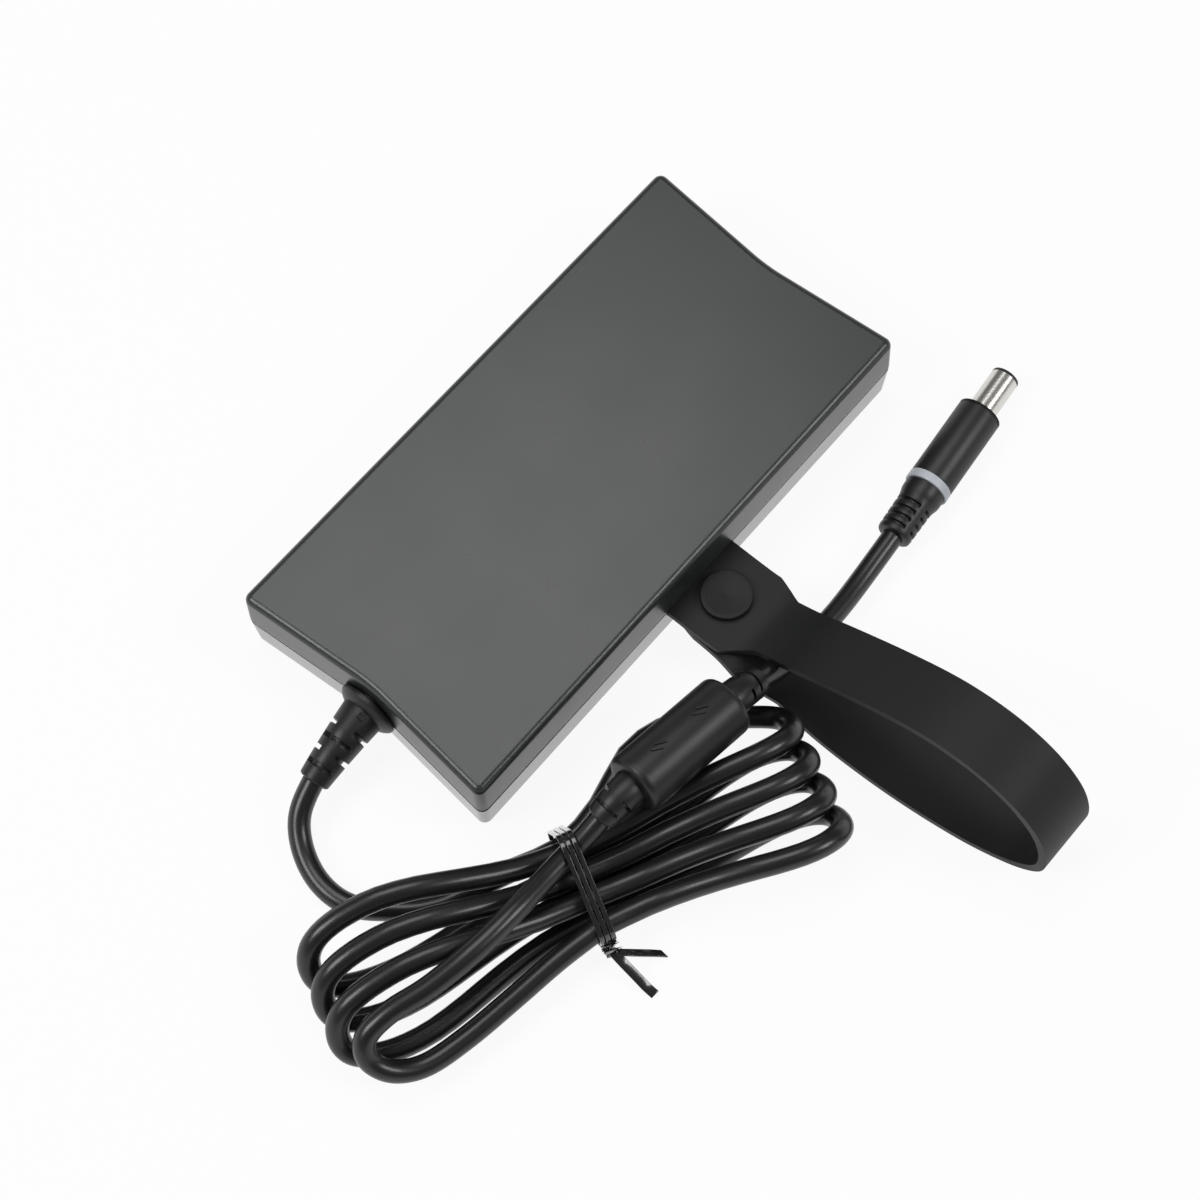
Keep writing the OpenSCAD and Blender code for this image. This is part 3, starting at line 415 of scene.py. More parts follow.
def pick(*pieces):
    """Selects these pieces alone and makes the first one active."""
    bpy.ops.object.select_all(action="DESELECT")
    for piece in pieces:
        piece.select_set(True)
    bpy.context.view_layer.objects.active = pieces[0]


def edit(piece):
    if bpy.context.mode != "OBJECT":
        bpy.ops.object.mode_set(mode="OBJECT")
    pick(piece)
    bpy.ops.object.mode_set(mode="EDIT")


def select(piece, kind, wanted):
    """Selects what passes a test of its middle, in millimetres, and its normal or direction."""
    bpy.ops.mesh.select_mode(type=kind)
    bpy.ops.mesh.select_all(action="DESELECT")
    mesh = bmesh.from_edit_mesh(piece.data)
    if kind == "FACE":
        for face in mesh.faces:
            face.select = wanted(face.calc_center_median() / MM, face.normal)
    elif kind == "EDGE":
        for edge in mesh.edges:
            a, b = (v.co / MM for v in edge.verts)
            edge.select = wanted((a + b) / 2, (b - a).normalized())
    else:
        for vert in mesh.verts:
            vert.select = wanted(vert.co / MM, vert.normal)
    mesh.select_flush_mode()
    bmesh.update_edit_mesh(piece.data)


def done(piece, name, angle=35):
    """Leaves edit mode with the mesh in place, its object at the origin and its faces outward."""
    if bpy.context.mode != "EDIT_MESH":
        edit(piece)
    bpy.ops.mesh.select_all(action="SELECT")
    bpy.ops.mesh.remove_doubles(threshold=1e-6)
    bpy.ops.mesh.normals_make_consistent(inside=False)
    bpy.ops.object.mode_set(mode="OBJECT")
    bpy.ops.object.transform_apply(location=True, rotation=True, scale=True)
    bpy.ops.object.shade_smooth_by_angle(angle=radians(angle))
    piece.name = piece.data.name = name
    return piece


def apply_modifier(piece, kind, **settings):
    bpy.context.view_layer.objects.active = piece
    modifier = piece.modifiers.new(kind.lower(), kind)
    for key, value in settings.items():
        setattr(modifier, key, value)
    bpy.ops.object.modifier_apply(modifier=modifier.name)


def turned(name, profile, sides=72, close=False):
    """Lathe piece up the Z axis from (height, radius) pairs in millimetres."""
    (height, radius), *rest = profile
    bpy.ops.object.select_all(action="DESELECT")
    bpy.ops.mesh.primitive_circle_add(vertices=sides, radius=radius * MM,
                                      location=(0, 0, height * MM),
                                      fill_type="NOTHING" if close else "NGON")
    piece = bpy.context.object
    bpy.ops.object.transform_apply(location=True)
    edit(piece)
    bpy.ops.mesh.select_all(action="SELECT")
    for next_height, next_radius in rest:
        extrude((0, 0, next_height - height))
        ratio = next_radius / radius
        bpy.ops.transform.resize(value=(ratio, ratio, 1),
                                 center_override=(0, 0, next_height * MM))
        height, radius = next_height, next_radius
    return done(piece, name)


def rounded(profile, radius, steps=4):
    """The profile with its inner corners rounded off."""
    out = [profile[0]]
    for before, corner, after in zip(profile, profile[1:], profile[2:]):
        a, b, c = (Vector(p) for p in (before, corner, after))
        reach = min(radius, (a - b).length * 0.49, (c - b).length * 0.49)
        start, end = b + (a - b).normalized() * reach, b + (c - b).normalized() * reach
        for i in range(steps + 1):
            f = i / steps
            out.append(tuple((1 - f) ** 2 * start + 2 * f * (1 - f) * b + f * f * end))
    out.append(profile[-1])
    return out


def set_along(piece, at, ahead, roll=0.0):
    """Moves a piece built up the Z axis to a place, pointing ahead."""
    turn = Vector(ahead).to_track_quat("Z", "Y").to_matrix().to_4x4()
    piece.matrix_world = (Matrix.Translation(Vector(at) * MM) @ turn
                          @ Matrix.Rotation(roll, 4, "Z"))
    pick(piece)
    bpy.ops.object.transform_apply(location=True, rotation=True, scale=True)
    return piece


def joined(pieces, name):
    pick(*pieces)
    bpy.ops.object.join()
    pieces[0].name = pieces[0].data.name = name
    return pieces[0]


def extrude(ahead=(0, 0, 0)):
    bpy.ops.mesh.extrude_region_move(
        TRANSFORM_OT_translate={"value": tuple(c * MM for c in ahead)})


def block(name, low, high):
    """Cube between two corners, to be shaped further or to cut with."""
    bpy.ops.object.select_all(action="DESELECT")
    bpy.ops.mesh.primitive_cube_add(size=1, location=[(a + b) / 2 * MM for a, b in zip(low, high)],
                                    scale=[(b - a) * MM for a, b in zip(low, high)])
    piece = bpy.context.object
    bpy.ops.object.transform_apply(location=True, rotation=False, scale=True)
    piece.name = name
    return piece


def rod(name, at, ahead, radius, length, sides=48):
    """Round bar that starts at a point, to cut with or to be shaped further."""
    bpy.ops.object.select_all(action="DESELECT")
    bpy.ops.mesh.primitive_cylinder_add(vertices=sides, radius=radius * MM, depth=length * MM,
                                        location=(0, 0, length / 2 * MM))
    piece = bpy.context.object
    bpy.ops.object.transform_apply(location=True)
    piece.name = name
    return set_along(piece, at, ahead)


def combine(piece, other, operation="DIFFERENCE"):
    """Cuts the other piece out of this one, or welds it on, and removes it."""
    apply_modifier(piece, "BOOLEAN", object=other, operation=operation, solver="EXACT")
    bpy.data.objects.remove(other)


def eased(piece, width, segments=2, angle=40):
    apply_modifier(piece, "BEVEL", width=width * MM, segments=segments, limit_method="ANGLE",
                   angle_limit=radians(angle), use_clamp_overlap=True)


def ribbon(name, rows, columns, thickness, edge, angle=35):
    """Flat band over rows of (middle, half of its width as a vector).

    Its edges are eased by the width that edge gives, unless that is 0.
    """
    bpy.ops.object.select_all(action="DESELECT")
    bpy.ops.mesh.primitive_grid_add(x_subdivisions=columns, y_subdivisions=len(rows) - 1, size=2)
    piece = bpy.context.object
    for vert in piece.data.vertices:
        middle, half = rows[round((vert.co.y + 1) / 2 * (len(rows) - 1))]
        vert.co = (Vector(middle) + Vector(half) * vert.co.x) * MM
    done(piece, name)
    apply_modifier(piece, "SOLIDIFY", thickness=thickness * MM, offset=0, use_even_offset=True)
    if edge:
        eased(piece, edge, 3, 50)
    return done(piece, name, angle)


# ---------------------------------------------------------------- shells

V_SOFT, V_LOST = 4, 0.16        # rounding of the V's middle, and the depth that it takes away
OUTSIDE_X, OUTSIDE_Y = 70, 37   # beyond these an edge is on the housing's outside
LIP, LIP_WIDTH = 1.95, 1.2      # height and width of the lower shell's lip
RECESS, RECESS_IN = 1.8, 1.05   # the upper shell's room for it, and how far in that starts
ROOF_IN, UPPER_RIM = 1.15, 0.25
GROOVE, GROOVE_IN = 0.4, 0.15   # height of the groove between the shells, and its inset
GROOVE_RIM = 0.35               # rounding of the edge below it
BOARD_Z, POST_SUNK = 4.6, 0.4   # underside of the board, and how deep its posts go in the floor
SHELL_ANGLE = 32                # sharper edges than this stay sharp, in degrees


def housing_block(name, low, high, low_in, high_in):
    """Solid of the housing's plan between two heights, drawn in at the bottom and the top."""
    half_l, half_w = HOUSING["length"] / 2, HOUSING["width"] / 2
    piece = block(name, (-half_l, -half_w, low), (half_l, half_w, high))
    edit(piece)
    bpy.ops.mesh.select_all(action="SELECT")
    bpy.ops.mesh.bisect(plane_co=(0, 0, 0), plane_no=(0, 1, 0))
    for side in (-1, 1):
        select(piece, "VERT", lambda p, n: abs(p.y) < TOUCH and p.x * side > half_l - TOUCH)
        bpy.ops.transform.translate(value=(-side * (HOUSING["end_v"] + V_LOST) * MM, 0, 0))
    select(piece, "EDGE", lambda p, d: abs(p.y) < TOUCH and abs(d.x) > 0.9)
    bpy.ops.mesh.dissolve_edges()
    select(piece, "EDGE", lambda p, d: abs(p.y) < TOUCH and abs(d.z) > 0.9)
    bpy.ops.mesh.bevel(offset=V_SOFT * MM, segments=6)
    select(piece, "EDGE", lambda p, d: abs(p.y) > half_w - TOUCH and abs(d.z) > 0.9)
    bpy.ops.mesh.bevel(offset=HOUSING["corner"] * MM, segments=7)
    for height, inset in ((low, low_in), (high, high_in)):
        select(piece, "VERT", lambda p, n: abs(p.z - height) < TOUCH)
        bpy.ops.transform.resize(value=(1 - inset / half_l, 1 - inset / half_w, 1),
                                 center_override=(0, 0, height * MM))
    return piece


def round_rim(piece, height, radius, segments=5):
    """Rounds the outer edges at that height."""
    select(piece, "EDGE", lambda p, d: abs(p.z - height) < TOUCH and abs(d.z) < 0.1
           and (abs(p.x) > OUTSIDE_X or abs(p.y) > OUTSIDE_Y))
    bpy.ops.mesh.bevel(offset=radius * MM, segments=segments)


def sink_face(piece, height, up, steps):
    """Insets the flat face at that height and moves it, once for each (inset, move) pair."""
    select(piece, "FACE", lambda p, n: abs(p.z - height) < TOUCH and n.z * up > 0.9)
    for inset, move in steps:
        bpy.ops.mesh.inset(thickness=inset * MM, depth=0, use_even_offset=True)
        extrude((0, 0, move))


def cut_ends(piece):
    """Cuts the windows for the mains inlet and the cord's exit.

    A cut along the middle comes first, so that no face keeps the V's notch in its outline.
    """
    name = piece.name
    done(piece, name, SHELL_ANGLE)
    edit(piece)
    bpy.ops.mesh.select_all(action="SELECT")
    bpy.ops.mesh.bisect(plane_co=(0, 0, 0), plane_no=(0, 1, 0))
    bpy.ops.object.mode_set(mode="OBJECT")
    combine(piece, block("inlet_cut", *INLET_WINDOW))
    combine(piece, rod("exit_cut", (EXIT_WINDOW["start"], 0, MID_Z), (1, 0, 0),
                       EXIT_WINDOW["radius"], EXIT_WINDOW["length"], 64))
    done(piece, name, SHELL_ANGLE)


def flat_shaded(piece):
    """Keeps wide flat faces flat beside their rounded edges."""
    apply_modifier(piece, "WEIGHTED_NORMAL", keep_sharp=True, weight=80)


def make_upper_shell():
    low, high, wall = HOUSING["seam"] + HOUSING["gap"] / 2, HOUSING["height"], HOUSING["wall"]
    piece = housing_block("upper_shell", low, high, 0, HOUSING["lean"])
    round_rim(piece, high, HOUSING["top_round"])
    # over the lower shell's lip, then up to the roof
    sink_face(piece, low, -1, ((RECESS_IN, RECESS), (ROOF_IN, high - wall - low - RECESS)))
    round_rim(piece, low, UPPER_RIM, 3)
    cut_ends(piece)
    flat_shaded(piece)
    return piece


def make_lower_shell():
    low, high, wall = 0.0, HOUSING["seam"] - HOUSING["gap"] / 2, HOUSING["wall"]
    ledge = high - GROOVE
    piece = housing_block("lower_shell", low, ledge, HOUSING["lean"], 0.02)
    round_rim(piece, low, HOUSING["base_round"])
    round_rim(piece, ledge, GROOVE_RIM, 3)
    # the shadow groove under the upper shell, then up to the lip and down to the floor
    sink_face(piece, ledge, 1, ((GROOVE_IN, GROOVE), (0.5, LIP),
                                (LIP_WIDTH, wall - high - LIP)))
    cut_ends(piece)
    combine(piece, block("strap_cut", (STRAP_X - 12.55, 35.1, STRAP_ROOT_Z - 1.4),
                         (STRAP_X + 12.55, 39.5, 20)))
    posts = [rod("board_post", (x, y, wall - POST_SUNK), (0, 0, 1), 3,
                 BOARD_Z - wall + POST_SUNK, 32)
             for x in (-44, 62) for y in (-28, 28)]
    piece = joined([piece, *posts], "lower_shell")
    done(piece, "lower_shell", SHELL_ANGLE)
    flat_shaded(piece)
    return piece


# ---------------------------------------------------------------- boots with slots

# depth of a root in its piece, slot as a share of the pitch, least wall over the cord
ROOT_IN, SLOT_SHARE, CORD_WALL = 1.0, 0.34, 0.4


def slotted_boot(name, boot, depth, at):
    """Flexible boot: a plain root, then rings joined by bridges that change sides."""
    pitch, rings, root, tip = boot["pitch"], boot["rings"], boot["root"], boot["tip"]
    length, slot = pitch * rings, SLOT_SHARE * pitch

    def radius(s):
        return (root + (tip - root) * s / length) / 2

    profile = [(-ROOT_IN, root / 2 - 0.2), (0, root / 2)]
    for step in range(1, rings):
        if step > 1:
            profile.append((step * pitch - slot, radius(step * pitch - slot)))
        profile.append((step * pitch, radius(step * pitch)))
    profile += [(length - 0.4, radius(length - 0.4)), (length, radius(length) - 0.4)]
    piece = turned(name, profile, 48)
    for step in range(2, rings):
        end = step * pitch
        edit(piece)
        select(piece, "FACE", lambda p, n: end - slot < p.z < end and abs(n.z) < 0.5
               and abs((degrees(atan2(p.y, p.x)) + 90 * ((step - 1) % 2)) % 180 - 90) < 60)
        extrude()
        core = max(radius(end) - depth, CORD / 2 + CORD_WALL) / radius(end)
        bpy.ops.transform.resize(value=(core, core, 1), center_override=(0, 0, end * MM))
        bpy.ops.object.mode_set(mode="OBJECT")
    eased(piece, 0.12)
    edit(piece)
    for step in range(rings - 1, 0, -1):
        select(piece, "VERT", lambda p, n: p.z > step * pitch + 0.05)
        bpy.ops.transform.rotate(value=-radians(boot["droop"]), orient_axis="X",
                                 center_override=(0, 0, step * pitch * MM))
    done(piece, name, SHELL_ANGLE)
    return set_along(piece, at, turned_to((1, 0, 0), boot["tilt"], boot["turn"]))


def make_exit_boot():
    # a flange on each side of the end wall; the outer one is domed
    flanges = [(-4.8, 7.7), (-4.6, 8), (-2.6, 8), (-2.4, 7.8), (-2.4, 6.2), (0.6, 6.2),
               (0.6, 7.8), (0.8, 8)]
    dome = rounded([(0.8, 8), (1.6, 8), (2.6, 7.0), (3.3, 5.7), (3.4, 5.0)], 0.8, 3)
    collar = turned("cord_exit_boot", flanges + dome[1:])
    set_along(collar, (EXIT_X, 0, MID_Z), (1, 0, 0))
    boot = slotted_boot("exit_boot", EXIT_BOOT, 1.3, EXIT_BOOT["at"])
    # a small raised frame on the boot's root
    mark = block("boot_mark", (-0.75, -0.95, 5.2), (0.75, 0.95, 5.72))
    edit(mark)
    select(mark, "FACE", lambda p, n: n.z > 0.9)
    bpy.ops.mesh.inset(thickness=0.35 * MM, depth=0)
    extrude((0, 0, -0.3))
    bpy.ops.object.mode_set(mode="OBJECT")
    eased(mark, 0.08)
    set_along(mark, (EXIT_X + 4.6, 0, MID_Z), (0, 0.34, 1))
    return joined([collar, boot, mark], "cord_exit_boot")


def make_bead():
    half, radius = BEAD["length"] / 2, BEAD["diameter"] / 2
    bore, hollow, wall = 2.85, 6.15, 2.4
    outside = rounded([(-half, bore), (-half, radius), (half, radius), (half, bore)], 2.0, 6)
    inside = [(half - wall, bore), (half - wall, hollow), (wall - half, hollow),
              (wall - half, bore), (-half, bore)]
    shell = turned("bead_shell", outside + inside, 96, close=True)
    # small moulding marks on its upper side
    marks = []
    for along, turn in ((-7.8, 84), (-6.2, 79), (5.6, 84), (7.2, 79)):
        mark = block("bead_mark", (-1.5, -0.24, -0.1), (1.5, 0.24, 0.4))
        eased(mark, 0.05)
        spot = Vector((radius * cos(radians(turn)), radius * sin(radians(turn)), along))
        aim = Vector((cos(radians(turn)), sin(radians(turn)), 0))
        marks.append(set_along(mark, spot - aim * 0.03, aim, radians(60)))
    shell = joined([shell, *marks], "bead_shell")
    set_along(shell, BEAD["at"], turned_to((1, 0, 0), BEAD["tilt"], BEAD["turn"]))
    near = slotted_boot("near_boot", NEAR_BOOT, 1.1, bead_face(NEAR_BOOT))
    far = slotted_boot("far_boot", FAR_BOOT, 1.1, bead_face(FAR_BOOT))
    return shell, near, far


# ---------------------------------------------------------------- plug


def on_plug(piece, s):
    """Puts a piece on the plug's axis, that far from the cord's end."""
    return set_along(piece, Vector(PLUG["at"]) + PLUG_AHEAD * s, PLUG_AHEAD)


def make_plug_boot():
    profile = [(0, 3.7), (0.3, 4.3), (0.8, 4.45)]
    cuts, width, spine = [1.7 + 2.3 * i for i in range(4)], 0.95, 128
    for cut in cuts:
        profile += [(cut, 4.5 + 0.02 * cut), (cut + width, 4.5 + 0.02 * cut)]
    profile += [(10.6, 4.75), (11.6, 5.0), (12.4, 5.25), (13.2, 5.35), (15.1, 5.35), (15.3, 5.2)]
    piece = turned("plug_rear_boot", profile)
    for cut in cuts:
        edit(piece)
        select(piece, "FACE", lambda p, n: cut < p.z < cut + width and abs(n.z) < 0.5
               and abs((degrees(atan2(p.y, p.x)) - spine) % 180 - 90) < 77)
        extrude()
        bpy.ops.transform.resize(value=(0.78, 0.78, 1), center_override=(0, 0, cut * MM))
        bpy.ops.object.mode_set(mode="OBJECT")
    eased(piece, 0.12)
    done(piece, "plug_rear_boot", SHELL_ANGLE)
    return on_plug(piece, 0)


def make_plug():
    grip, ring, sleeve = PLUG["grip"], PLUG["ring"], PLUG["sleeve"]
    grip_r, ring_r, pin_r = PLUG["grip_d"] / 2, PLUG["grip_d"] / 2 + 0.06, PLUG["sleeve_d"] / 2
    guide = turned("light_guide_ring", [(0, 5.3)] + rounded(
        [(0, 5.5), (0, ring_r), (ring, ring_r), (ring, 5.5)], 0.35, 4) + [(ring, 5.0)], 96)
    # the rear edge and the outside, the front edge, and the bore that holds the contact
    rear = rounded([(0, 5.4), (0, grip_r), (grip, grip_r), (grip, 3.3)], 0.25, 3)[:6]
    front = rounded([(1, grip_r), (grip, grip_r), (grip, 3.6)], 1.25, 8)[1:]
    bore = [(grip, 3.3), (grip - 7, 3.3), (grip - 7, 0.4)]
    barrel = turned("plug_barrel", rear + front + bore, 96)
    contact = turned("plug_contact", [
        (-6.5, 3.05), (-6.5, 3.25), (0, 3.25), (0, 3.6), (0.1, pin_r), (sleeve, pin_r),
        (sleeve, 3.3), (0.4, 3.3), (0.4, 3.05), (-6.5, 3.05)], 96, close=True)
    tip = turned("plug_tip_ring", [
        (-6.5, 2.87), (-6.5, 3.03), (0.42, 3.03), (0.42, 3.28), (sleeve, 3.28), (sleeve, pin_r),
        (12.1, pin_r), (12.3, 3.62), (12.4, 3.4), (12.4, 2.87), (-6.5, 2.87)], 96, close=True)
    start = PLUG["boot"] + ring
    on_plug(guide, PLUG["boot"])
    on_plug(barrel, start)
    on_plug(contact, start + grip)
    on_plug(tip, start + grip)
    return guide, barrel, contact, tip


# ---------------------------------------------------------------- strap

STRAP_X, STRAP_T, TAB, BAND = -2, 2.2, 24.5, 16.3
STRAP_ROOT_Z = HOUSING["seam"] - HOUSING["gap"] / 2 - STRAP_T / 2
STRAP_UNDER_Z = STRAP_ROOT_Z - STRAP_T - 0.3
BUTTON_Y = 46.5
# the strap's middle line from the wall outward and back, with its width at each point
STRAP = [(-2, 36.4, STRAP_ROOT_Z, TAB), (-2, 40, STRAP_ROOT_Z, TAB), (-2, 46.5, STRAP_ROOT_Z, TAB),
         (-2.2, 53.5, STRAP_ROOT_Z, TAB), (-3, 57.5, STRAP_ROOT_Z + 0.2, (TAB + BAND) / 2),
         (-3.5, 61.5, STRAP_ROOT_Z + 1.4, BAND), (-3.6, 68, 16.2, BAND), (-3.6, 77, 22.4, BAND),
         (-3.6, 91, 31.3, BAND), (-3.6, 104, 38.3, BAND), (-3.6, 114, 41.4, BAND),
         (-3.6, 124, 41.8, BAND), (-3.6, 133, 39, BAND), (-3.7, 140, 32.8, BAND),
         (-3.9, 143.6, 25, BAND), (-4.3, 144.6, 16, BAND), (-4.9, 142.6, 8, BAND),
         (-4.3, 137, 2.9, BAND), (-2.6, 128, 1.35, BAND), (-1, 117, 1.18, BAND),
         (0.2, 104, 1.18, BAND), (0.7, 90, 1.18, BAND), (0.5, 79, 1.5, BAND),
         (0, 71.5, 2.7, BAND), (-0.6, 66, 4.6, (TAB + BAND) / 2), (-1.2, 60, 7, TAB),
         (-1.7, 54, STRAP_UNDER_Z - 0.1, TAB), (-2, 46.5, STRAP_UNDER_Z, TAB),
         (-2, 43, STRAP_UNDER_Z, TAB * 0.94), (-2, 40.6, STRAP_UNDER_Z, TAB * 0.76),
         (-2, 39.4, STRAP_UNDER_Z, TAB * 0.5)]


def make_strap():
    steps = 5
    middles = curve_through([p[:3] for p in STRAP], steps)
    widths = [a[3] + (b[3] - a[3]) * s / steps for a, b in zip(STRAP, STRAP[1:])
              for s in range(steps)] + [STRAP[-1][3]]
    rows = [(m, (w / 2, 0, 0)) for m, w in zip(middles, widths)]
    piece = ribbon("cord_strap", rows, 6, STRAP_T, 0)
    bar = block("strap_bar", (STRAP_X - TAB / 2, 34.4, STRAP_ROOT_Z - 2.2),
                (STRAP_X + TAB / 2, 37.0, STRAP_ROOT_Z + 2.2))
    combine(piece, bar, "UNION")
    combine(piece, rod("stem_cut", (STRAP_X, BUTTON_Y, 2), (0, 0, 1), 2.8, 14))
    eased(piece, 0.45, 3, 50)
    return done(piece, "cord_strap")


def make_button():
    low, under = STRAP_ROOT_Z + STRAP_T / 2 + 0.1, STRAP_UNDER_Z - STRAP_T / 2
    profile = [(under - 0.6, 1.6), (under - 0.5, 2.2), (under - 0.1, 2.5), (low, 2.5), (low, 6.1),
               (low + 0.12, 6.42)]
    profile += rounded([(low + 0.12, 6.42), (low + 1.6, 6.5), (low + 1.6, 5.2), (low + 1.5, 4.8)],
                       0.45, 5)[1:]
    profile += [(low + 1.5, 0.5), (low + 1.44, 0.3)]
    piece = turned("strap_stud", profile, 96)
    return set_along(piece, (STRAP_X, BUTTON_Y, 0), (0, 0, 1))


# ---------------------------------------------------------------- wire tie

# middles of the outermost strands at the waist, as distance across and up
WAIST = [(-9.3, 4.05), (10.5, 4.05), (14.5, 9.9), (-2, 17.7), (-3.6, 18.1)]


def waist_outline(grow):
    """Line round the hank's waist, as distance across and up."""
    line, count = [], len(WAIST)
    turns = [atan2(WAIST[(i + 1) % count][1] - WAIST[i][1],
                   WAIST[(i + 1) % count][0] - WAIST[i][0]) - pi / 2 for i in range(count)]
    for i, (v, z) in enumerate(WAIST):
        start = turns[i - 1]
        swing = (turns[i] - start) % (2 * pi)
        steps = max(2, round(degrees(swing) / 9))
        line += [(v + grow * cos(start + swing * k / steps),
                  z + grow * sin(start + swing * k / steps)) for k in range(steps + 1)]
    return line + line[:1]


def make_tie():
    along = from_hank(1, 0, 0) - from_hank(0, 0, 0)
    pieces = []
    for i in (-1, 0, 1):
        line = waist_outline(CORD / 2 + 0.9 + 0.03 * i)
        rows = [(from_hank(1.4 * i, v, z), along * 0.56) for v, z in line]
        pieces.append(ribbon("tie_band", rows, 1, 0.5, 0.14))
    for start in (0, pi):
        rows = []
        for k in range(19):
            turn = start + radians(25 * k)
            spread = 1.9 + 0.5 * sin(1.9 * k + start)
            side = Vector((cos(turn), 0, sin(turn)))
            off = Vector((-sin(turn), 0, cos(turn))) * 0.7
            middle = from_hank(0.2 + off.x, 16.9 + 0.21 * k, 6.5 + off.z)
            rows.append((middle, (along * side.x + Vector((0, 0, side.z))) * spread))
        pieces.append(ribbon("tie_knot", rows, 1, 0.45, 0.1))
    gather = (16.4, 4.6), (17.5, 5.4), (17.9, 6.5), (17.6, 7.6), (16.7, 8.5)
    clasp = [(from_hank(0, v, z), along * 2.0) for v, z in gather]
    pieces.append(ribbon("tie_gather", clasp, 2, 0.5, 0.12))
    for points, half in ((((0.3, 20.3, 6.7), (3, 21.4, 5.9), (6, 22.4, 4.2), (9, 23.3, 2.2),
                           (11.4, 24.3, 1.2)), (0.42, 1.1)),
                         (((0.2, 19.9, 6.2), (1.4, 23.2, 5.3), (2.9, 26.6, 3.4), (4.2, 29.6, 1.7),
                           (5.4, 32.1, 1.0)), (1.1, -0.45))):
        line = curve_through([from_hank(*p) for p in points], 4)
        across = from_hank(half[0], half[1], 0) - from_hank(0, 0, 0)
        pieces.append(ribbon("tie_tail", [(m, across) for m in line], 1, 0.5, 0.12))
    return joined(pieces, "wire_tie")


# ---------------------------------------------------------------- mains inlet


def make_inlet():
    front, depth, back, half = (INLET[n] for n in ("front", "depth", "back", "half_width"))
    piece = block("inlet_body", (front, -half, INLET["low"]),
                  (front + depth + back, half, INLET["high"]))
    edit(piece)
    select(piece, "FACE", lambda p, n: n.x < -0.9)
    bpy.ops.mesh.inset(thickness=1.8 * MM, depth=0)
    # the two cut upper corners of the opening
    select(piece, "VERT", lambda p, n: p.x < front + TOUCH and abs(p.y) < 12.5 and p.z > 20)
    bpy.ops.mesh.bevel(offset=5.2 * MM, offset_type="OFFSET", segments=1, affect="VERTICES")
    select(piece, "FACE", lambda p, n: n.x < -0.9 and abs(p.y) < 1 and abs(p.z - MID_Z) < 3)
    extrude((depth, 0, 0))
    bpy.ops.object.mode_set(mode="OBJECT")
    for y, z in ((-7, MID_Z - 2), (7, MID_Z - 2), (0, MID_Z + 2)):
        combine(piece, block("pin_cut", (front + depth - 1, y - 1.05, z - 2.05),
                             (front + depth + back + 1, y + 1.05, z + 2.05)))
    eased(piece, 0.3, 3, 50)
    return done(piece, "inlet_body", SHELL_ANGLE)


bead_shell, near_boot, far_boot = make_bead()
ring, barrel, contact, tip_ring = make_plug()
for piece, body, slot, nodes in (
        (make_upper_shell(), "housing", "upper_shell", ["top_cover"]),
        (make_lower_shell(), "housing", "lower_shell", ["bottom_cover"]),
        (make_exit_boot(), "housing", "black_plastic", ["dc_strain_relief"]),
        (bead_shell, "housing", "black_plastic", ["bead_housing"]),
        (near_boot, "housing", "black_plastic", ["bead_boot_near"]),
        (far_boot, "housing", "black_plastic", ["bead_boot_far"]),
        (make_plug_boot(), "housing", "black_plastic", ["plug_boot"]),
        (ring, "housing", "light_guide", ["light_ring"]),
        (barrel, "housing", "black_plastic", ["plug_grip"]),
        (contact, "housing", "nickel", ["plug_sleeve"]),
        (tip_ring, "housing", "component_black", ["plug_insulator"]),
        (make_strap(), "housing", "strap_rubber", ["strap"]),
        (make_button(), "button", "strap_rubber", ["strap_button"]),
        (make_tie(), "housing", "tie_black", ["twist_tie"]),
        (make_inlet(), "housing", "black_plastic", ["inlet_housing"])):
    finish_with(piece, slot)
    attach(piece, body)
    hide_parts(*nodes)

# ---------------------------------------------------------------- stage and light


def seen_white(finish, shader, share):
    """Mixes white light into a shader where the camera, or a mirror in view, looks at it."""
    ray = finish.tree.nodes.new("ShaderNodeLightPath")
    seen = sum((Value(finish, ray.outputs[f"Is {kind} Ray"])
                for kind in ("Glossy", "Transmission")),
               Value(finish, ray.outputs["Is Camera Ray"]))
    glow = finish.node("ShaderNodeEmission", None, grey(1), 1.0)
    return finish.node("ShaderNodeMixShader", None, share * seen, Value(finish, shader), glow)


# the floor's own white, the share of pure white that is seen on it, and the world's light
STUDIO_WHITE, SHOWN_WHITE, SKY_LIGHT = 0.92, 0.92, 0.15
# the stage and the point that the lamps face, in metres
FLOOR_SIZE, FLOOR_Z, BACKDROP_RADIUS, BACKDROP_HEIGHT = 60, -0.0002, 10, 2
LAMPS_AIM = 0.03, 0.04, 0

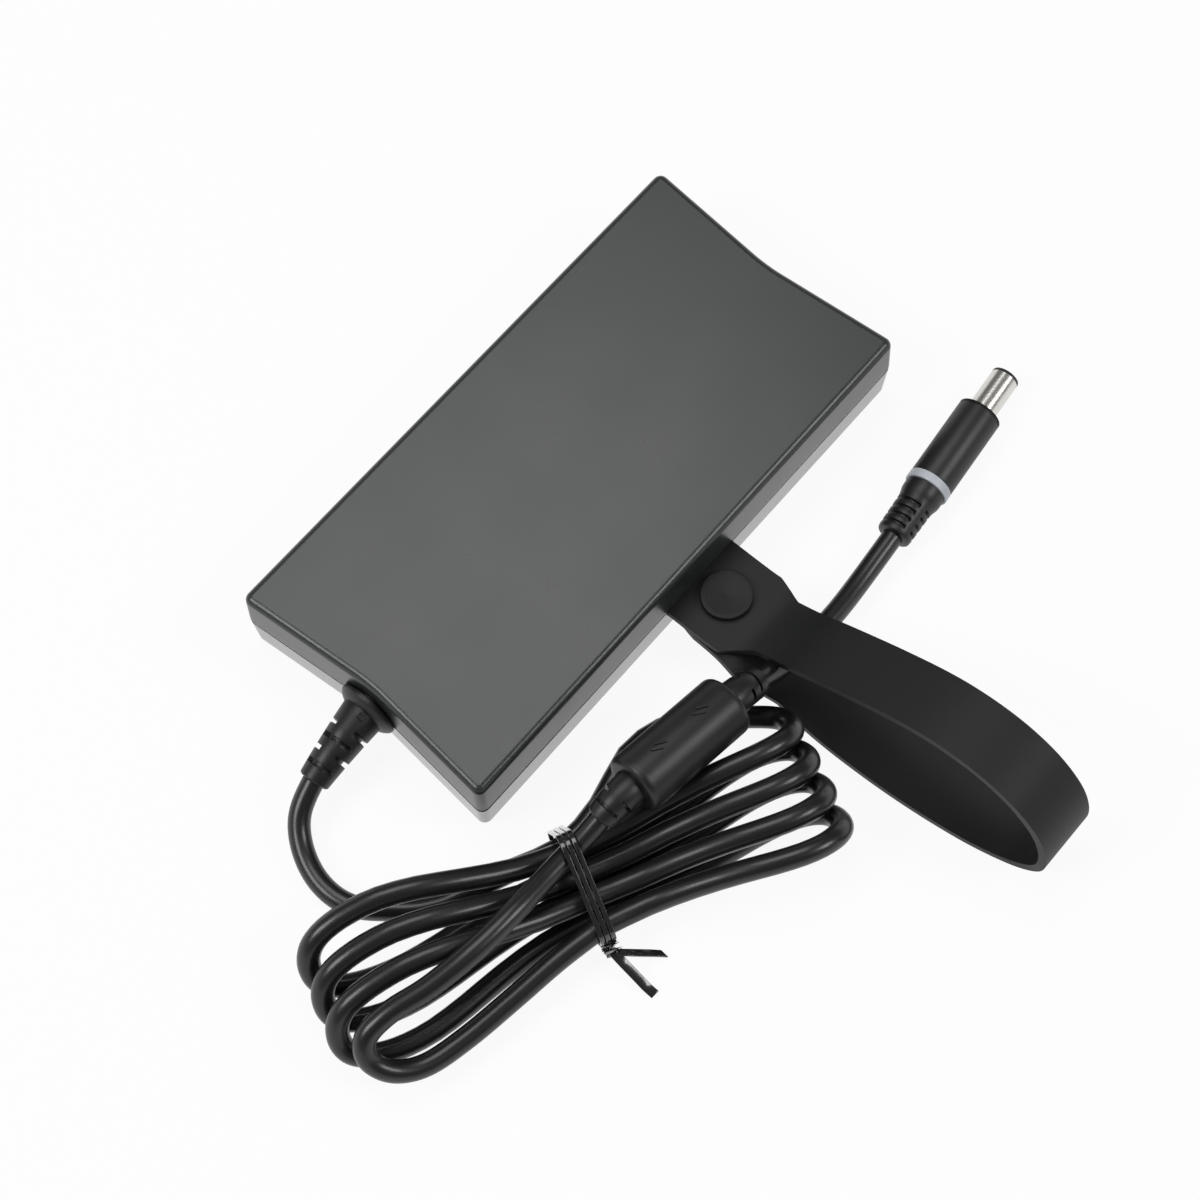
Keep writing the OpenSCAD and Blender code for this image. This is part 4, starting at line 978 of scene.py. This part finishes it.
bpy.ops.mesh.primitive_plane_add(size=FLOOR_SIZE, location=(0, 0, FLOOR_Z))
floor_piece = bpy.context.object
floor_piece.name = "studio_floor"
floor_finish = Finish("studio_white")
floor_finish.surface(Base_Color=grey(STUDIO_WHITE), Roughness=1.0)
shown = seen_white(floor_finish, floor_finish.shader.outputs[0], SHOWN_WHITE)
floor_finish.tree.links.new(shown.socket,
                            floor_finish.tree.nodes["Material Output"].inputs["Surface"])
floor_piece.data.materials.append(floor_finish.material)
# a low ring far out, so that a view from near the floor has a white horizon
bpy.ops.mesh.primitive_cylinder_add(vertices=96, radius=BACKDROP_RADIUS, depth=BACKDROP_HEIGHT,
                                    end_fill_type="NOTHING", location=(0, 0, BACKDROP_HEIGHT / 2))
backdrop = bpy.context.object
backdrop.name = "studio_backdrop"
backdrop.data.materials.append(floor_finish.material)


def softbox(name, place, size, watts):
    """Area lamp that faces the middle of the part."""
    bpy.ops.object.light_add(type="AREA", location=place)
    lamp = bpy.context.object
    lamp.name = name
    lamp.data.shape = "RECTANGLE"
    lamp.data.size, lamp.data.size_y = size
    lamp.data.energy = watts
    ahead = Vector(LAMPS_AIM) - Vector(place)
    lamp.rotation_euler = ahead.to_track_quat("-Z", "Y").to_euler()


softbox("softbox_above", (-0.2, -0.36, 1.3), (0.75, 0.7), 5.6)
softbox("softbox_left", (0.9, -0.5, 1.1), (0.6, 0.6), 9)
softbox("softbox_right", (-0.5, 0.9, 1.0), (0.5, 0.5), 6)
world = bpy.data.worlds.new("studio")
world.use_nodes = True
sky = world.node_tree.nodes["Background"]
sky.inputs["Color"].default_value, sky.inputs["Strength"].default_value = grey(1), SKY_LIGHT
bpy.context.scene.world = world
bpy.context.scene.view_settings.view_transform = "Standard"

# ---------------------------------------------------------------- cords on their bodies

for cord, exit_at, line, nodes, on_it, end in (
        (dc_cord, EXIT_END, dc_line, ("lead_cord", "cord_hank"),
         ("bead_shell", "near_boot", "far_boot", "wire_tie"), "object"),
        (plug_cord, FAR_END, plug_line, ("plug_cord",),
         ("plug_rear_boot", "light_guide_ring", "plug_barrel", "plug_contact"), "plug")):
    finish_with(cord, "cord_jacket")
    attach(cord, "housing")
    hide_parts(*nodes)
    line_length(line) * MM
    "coiled" if end == "object" else "loose"
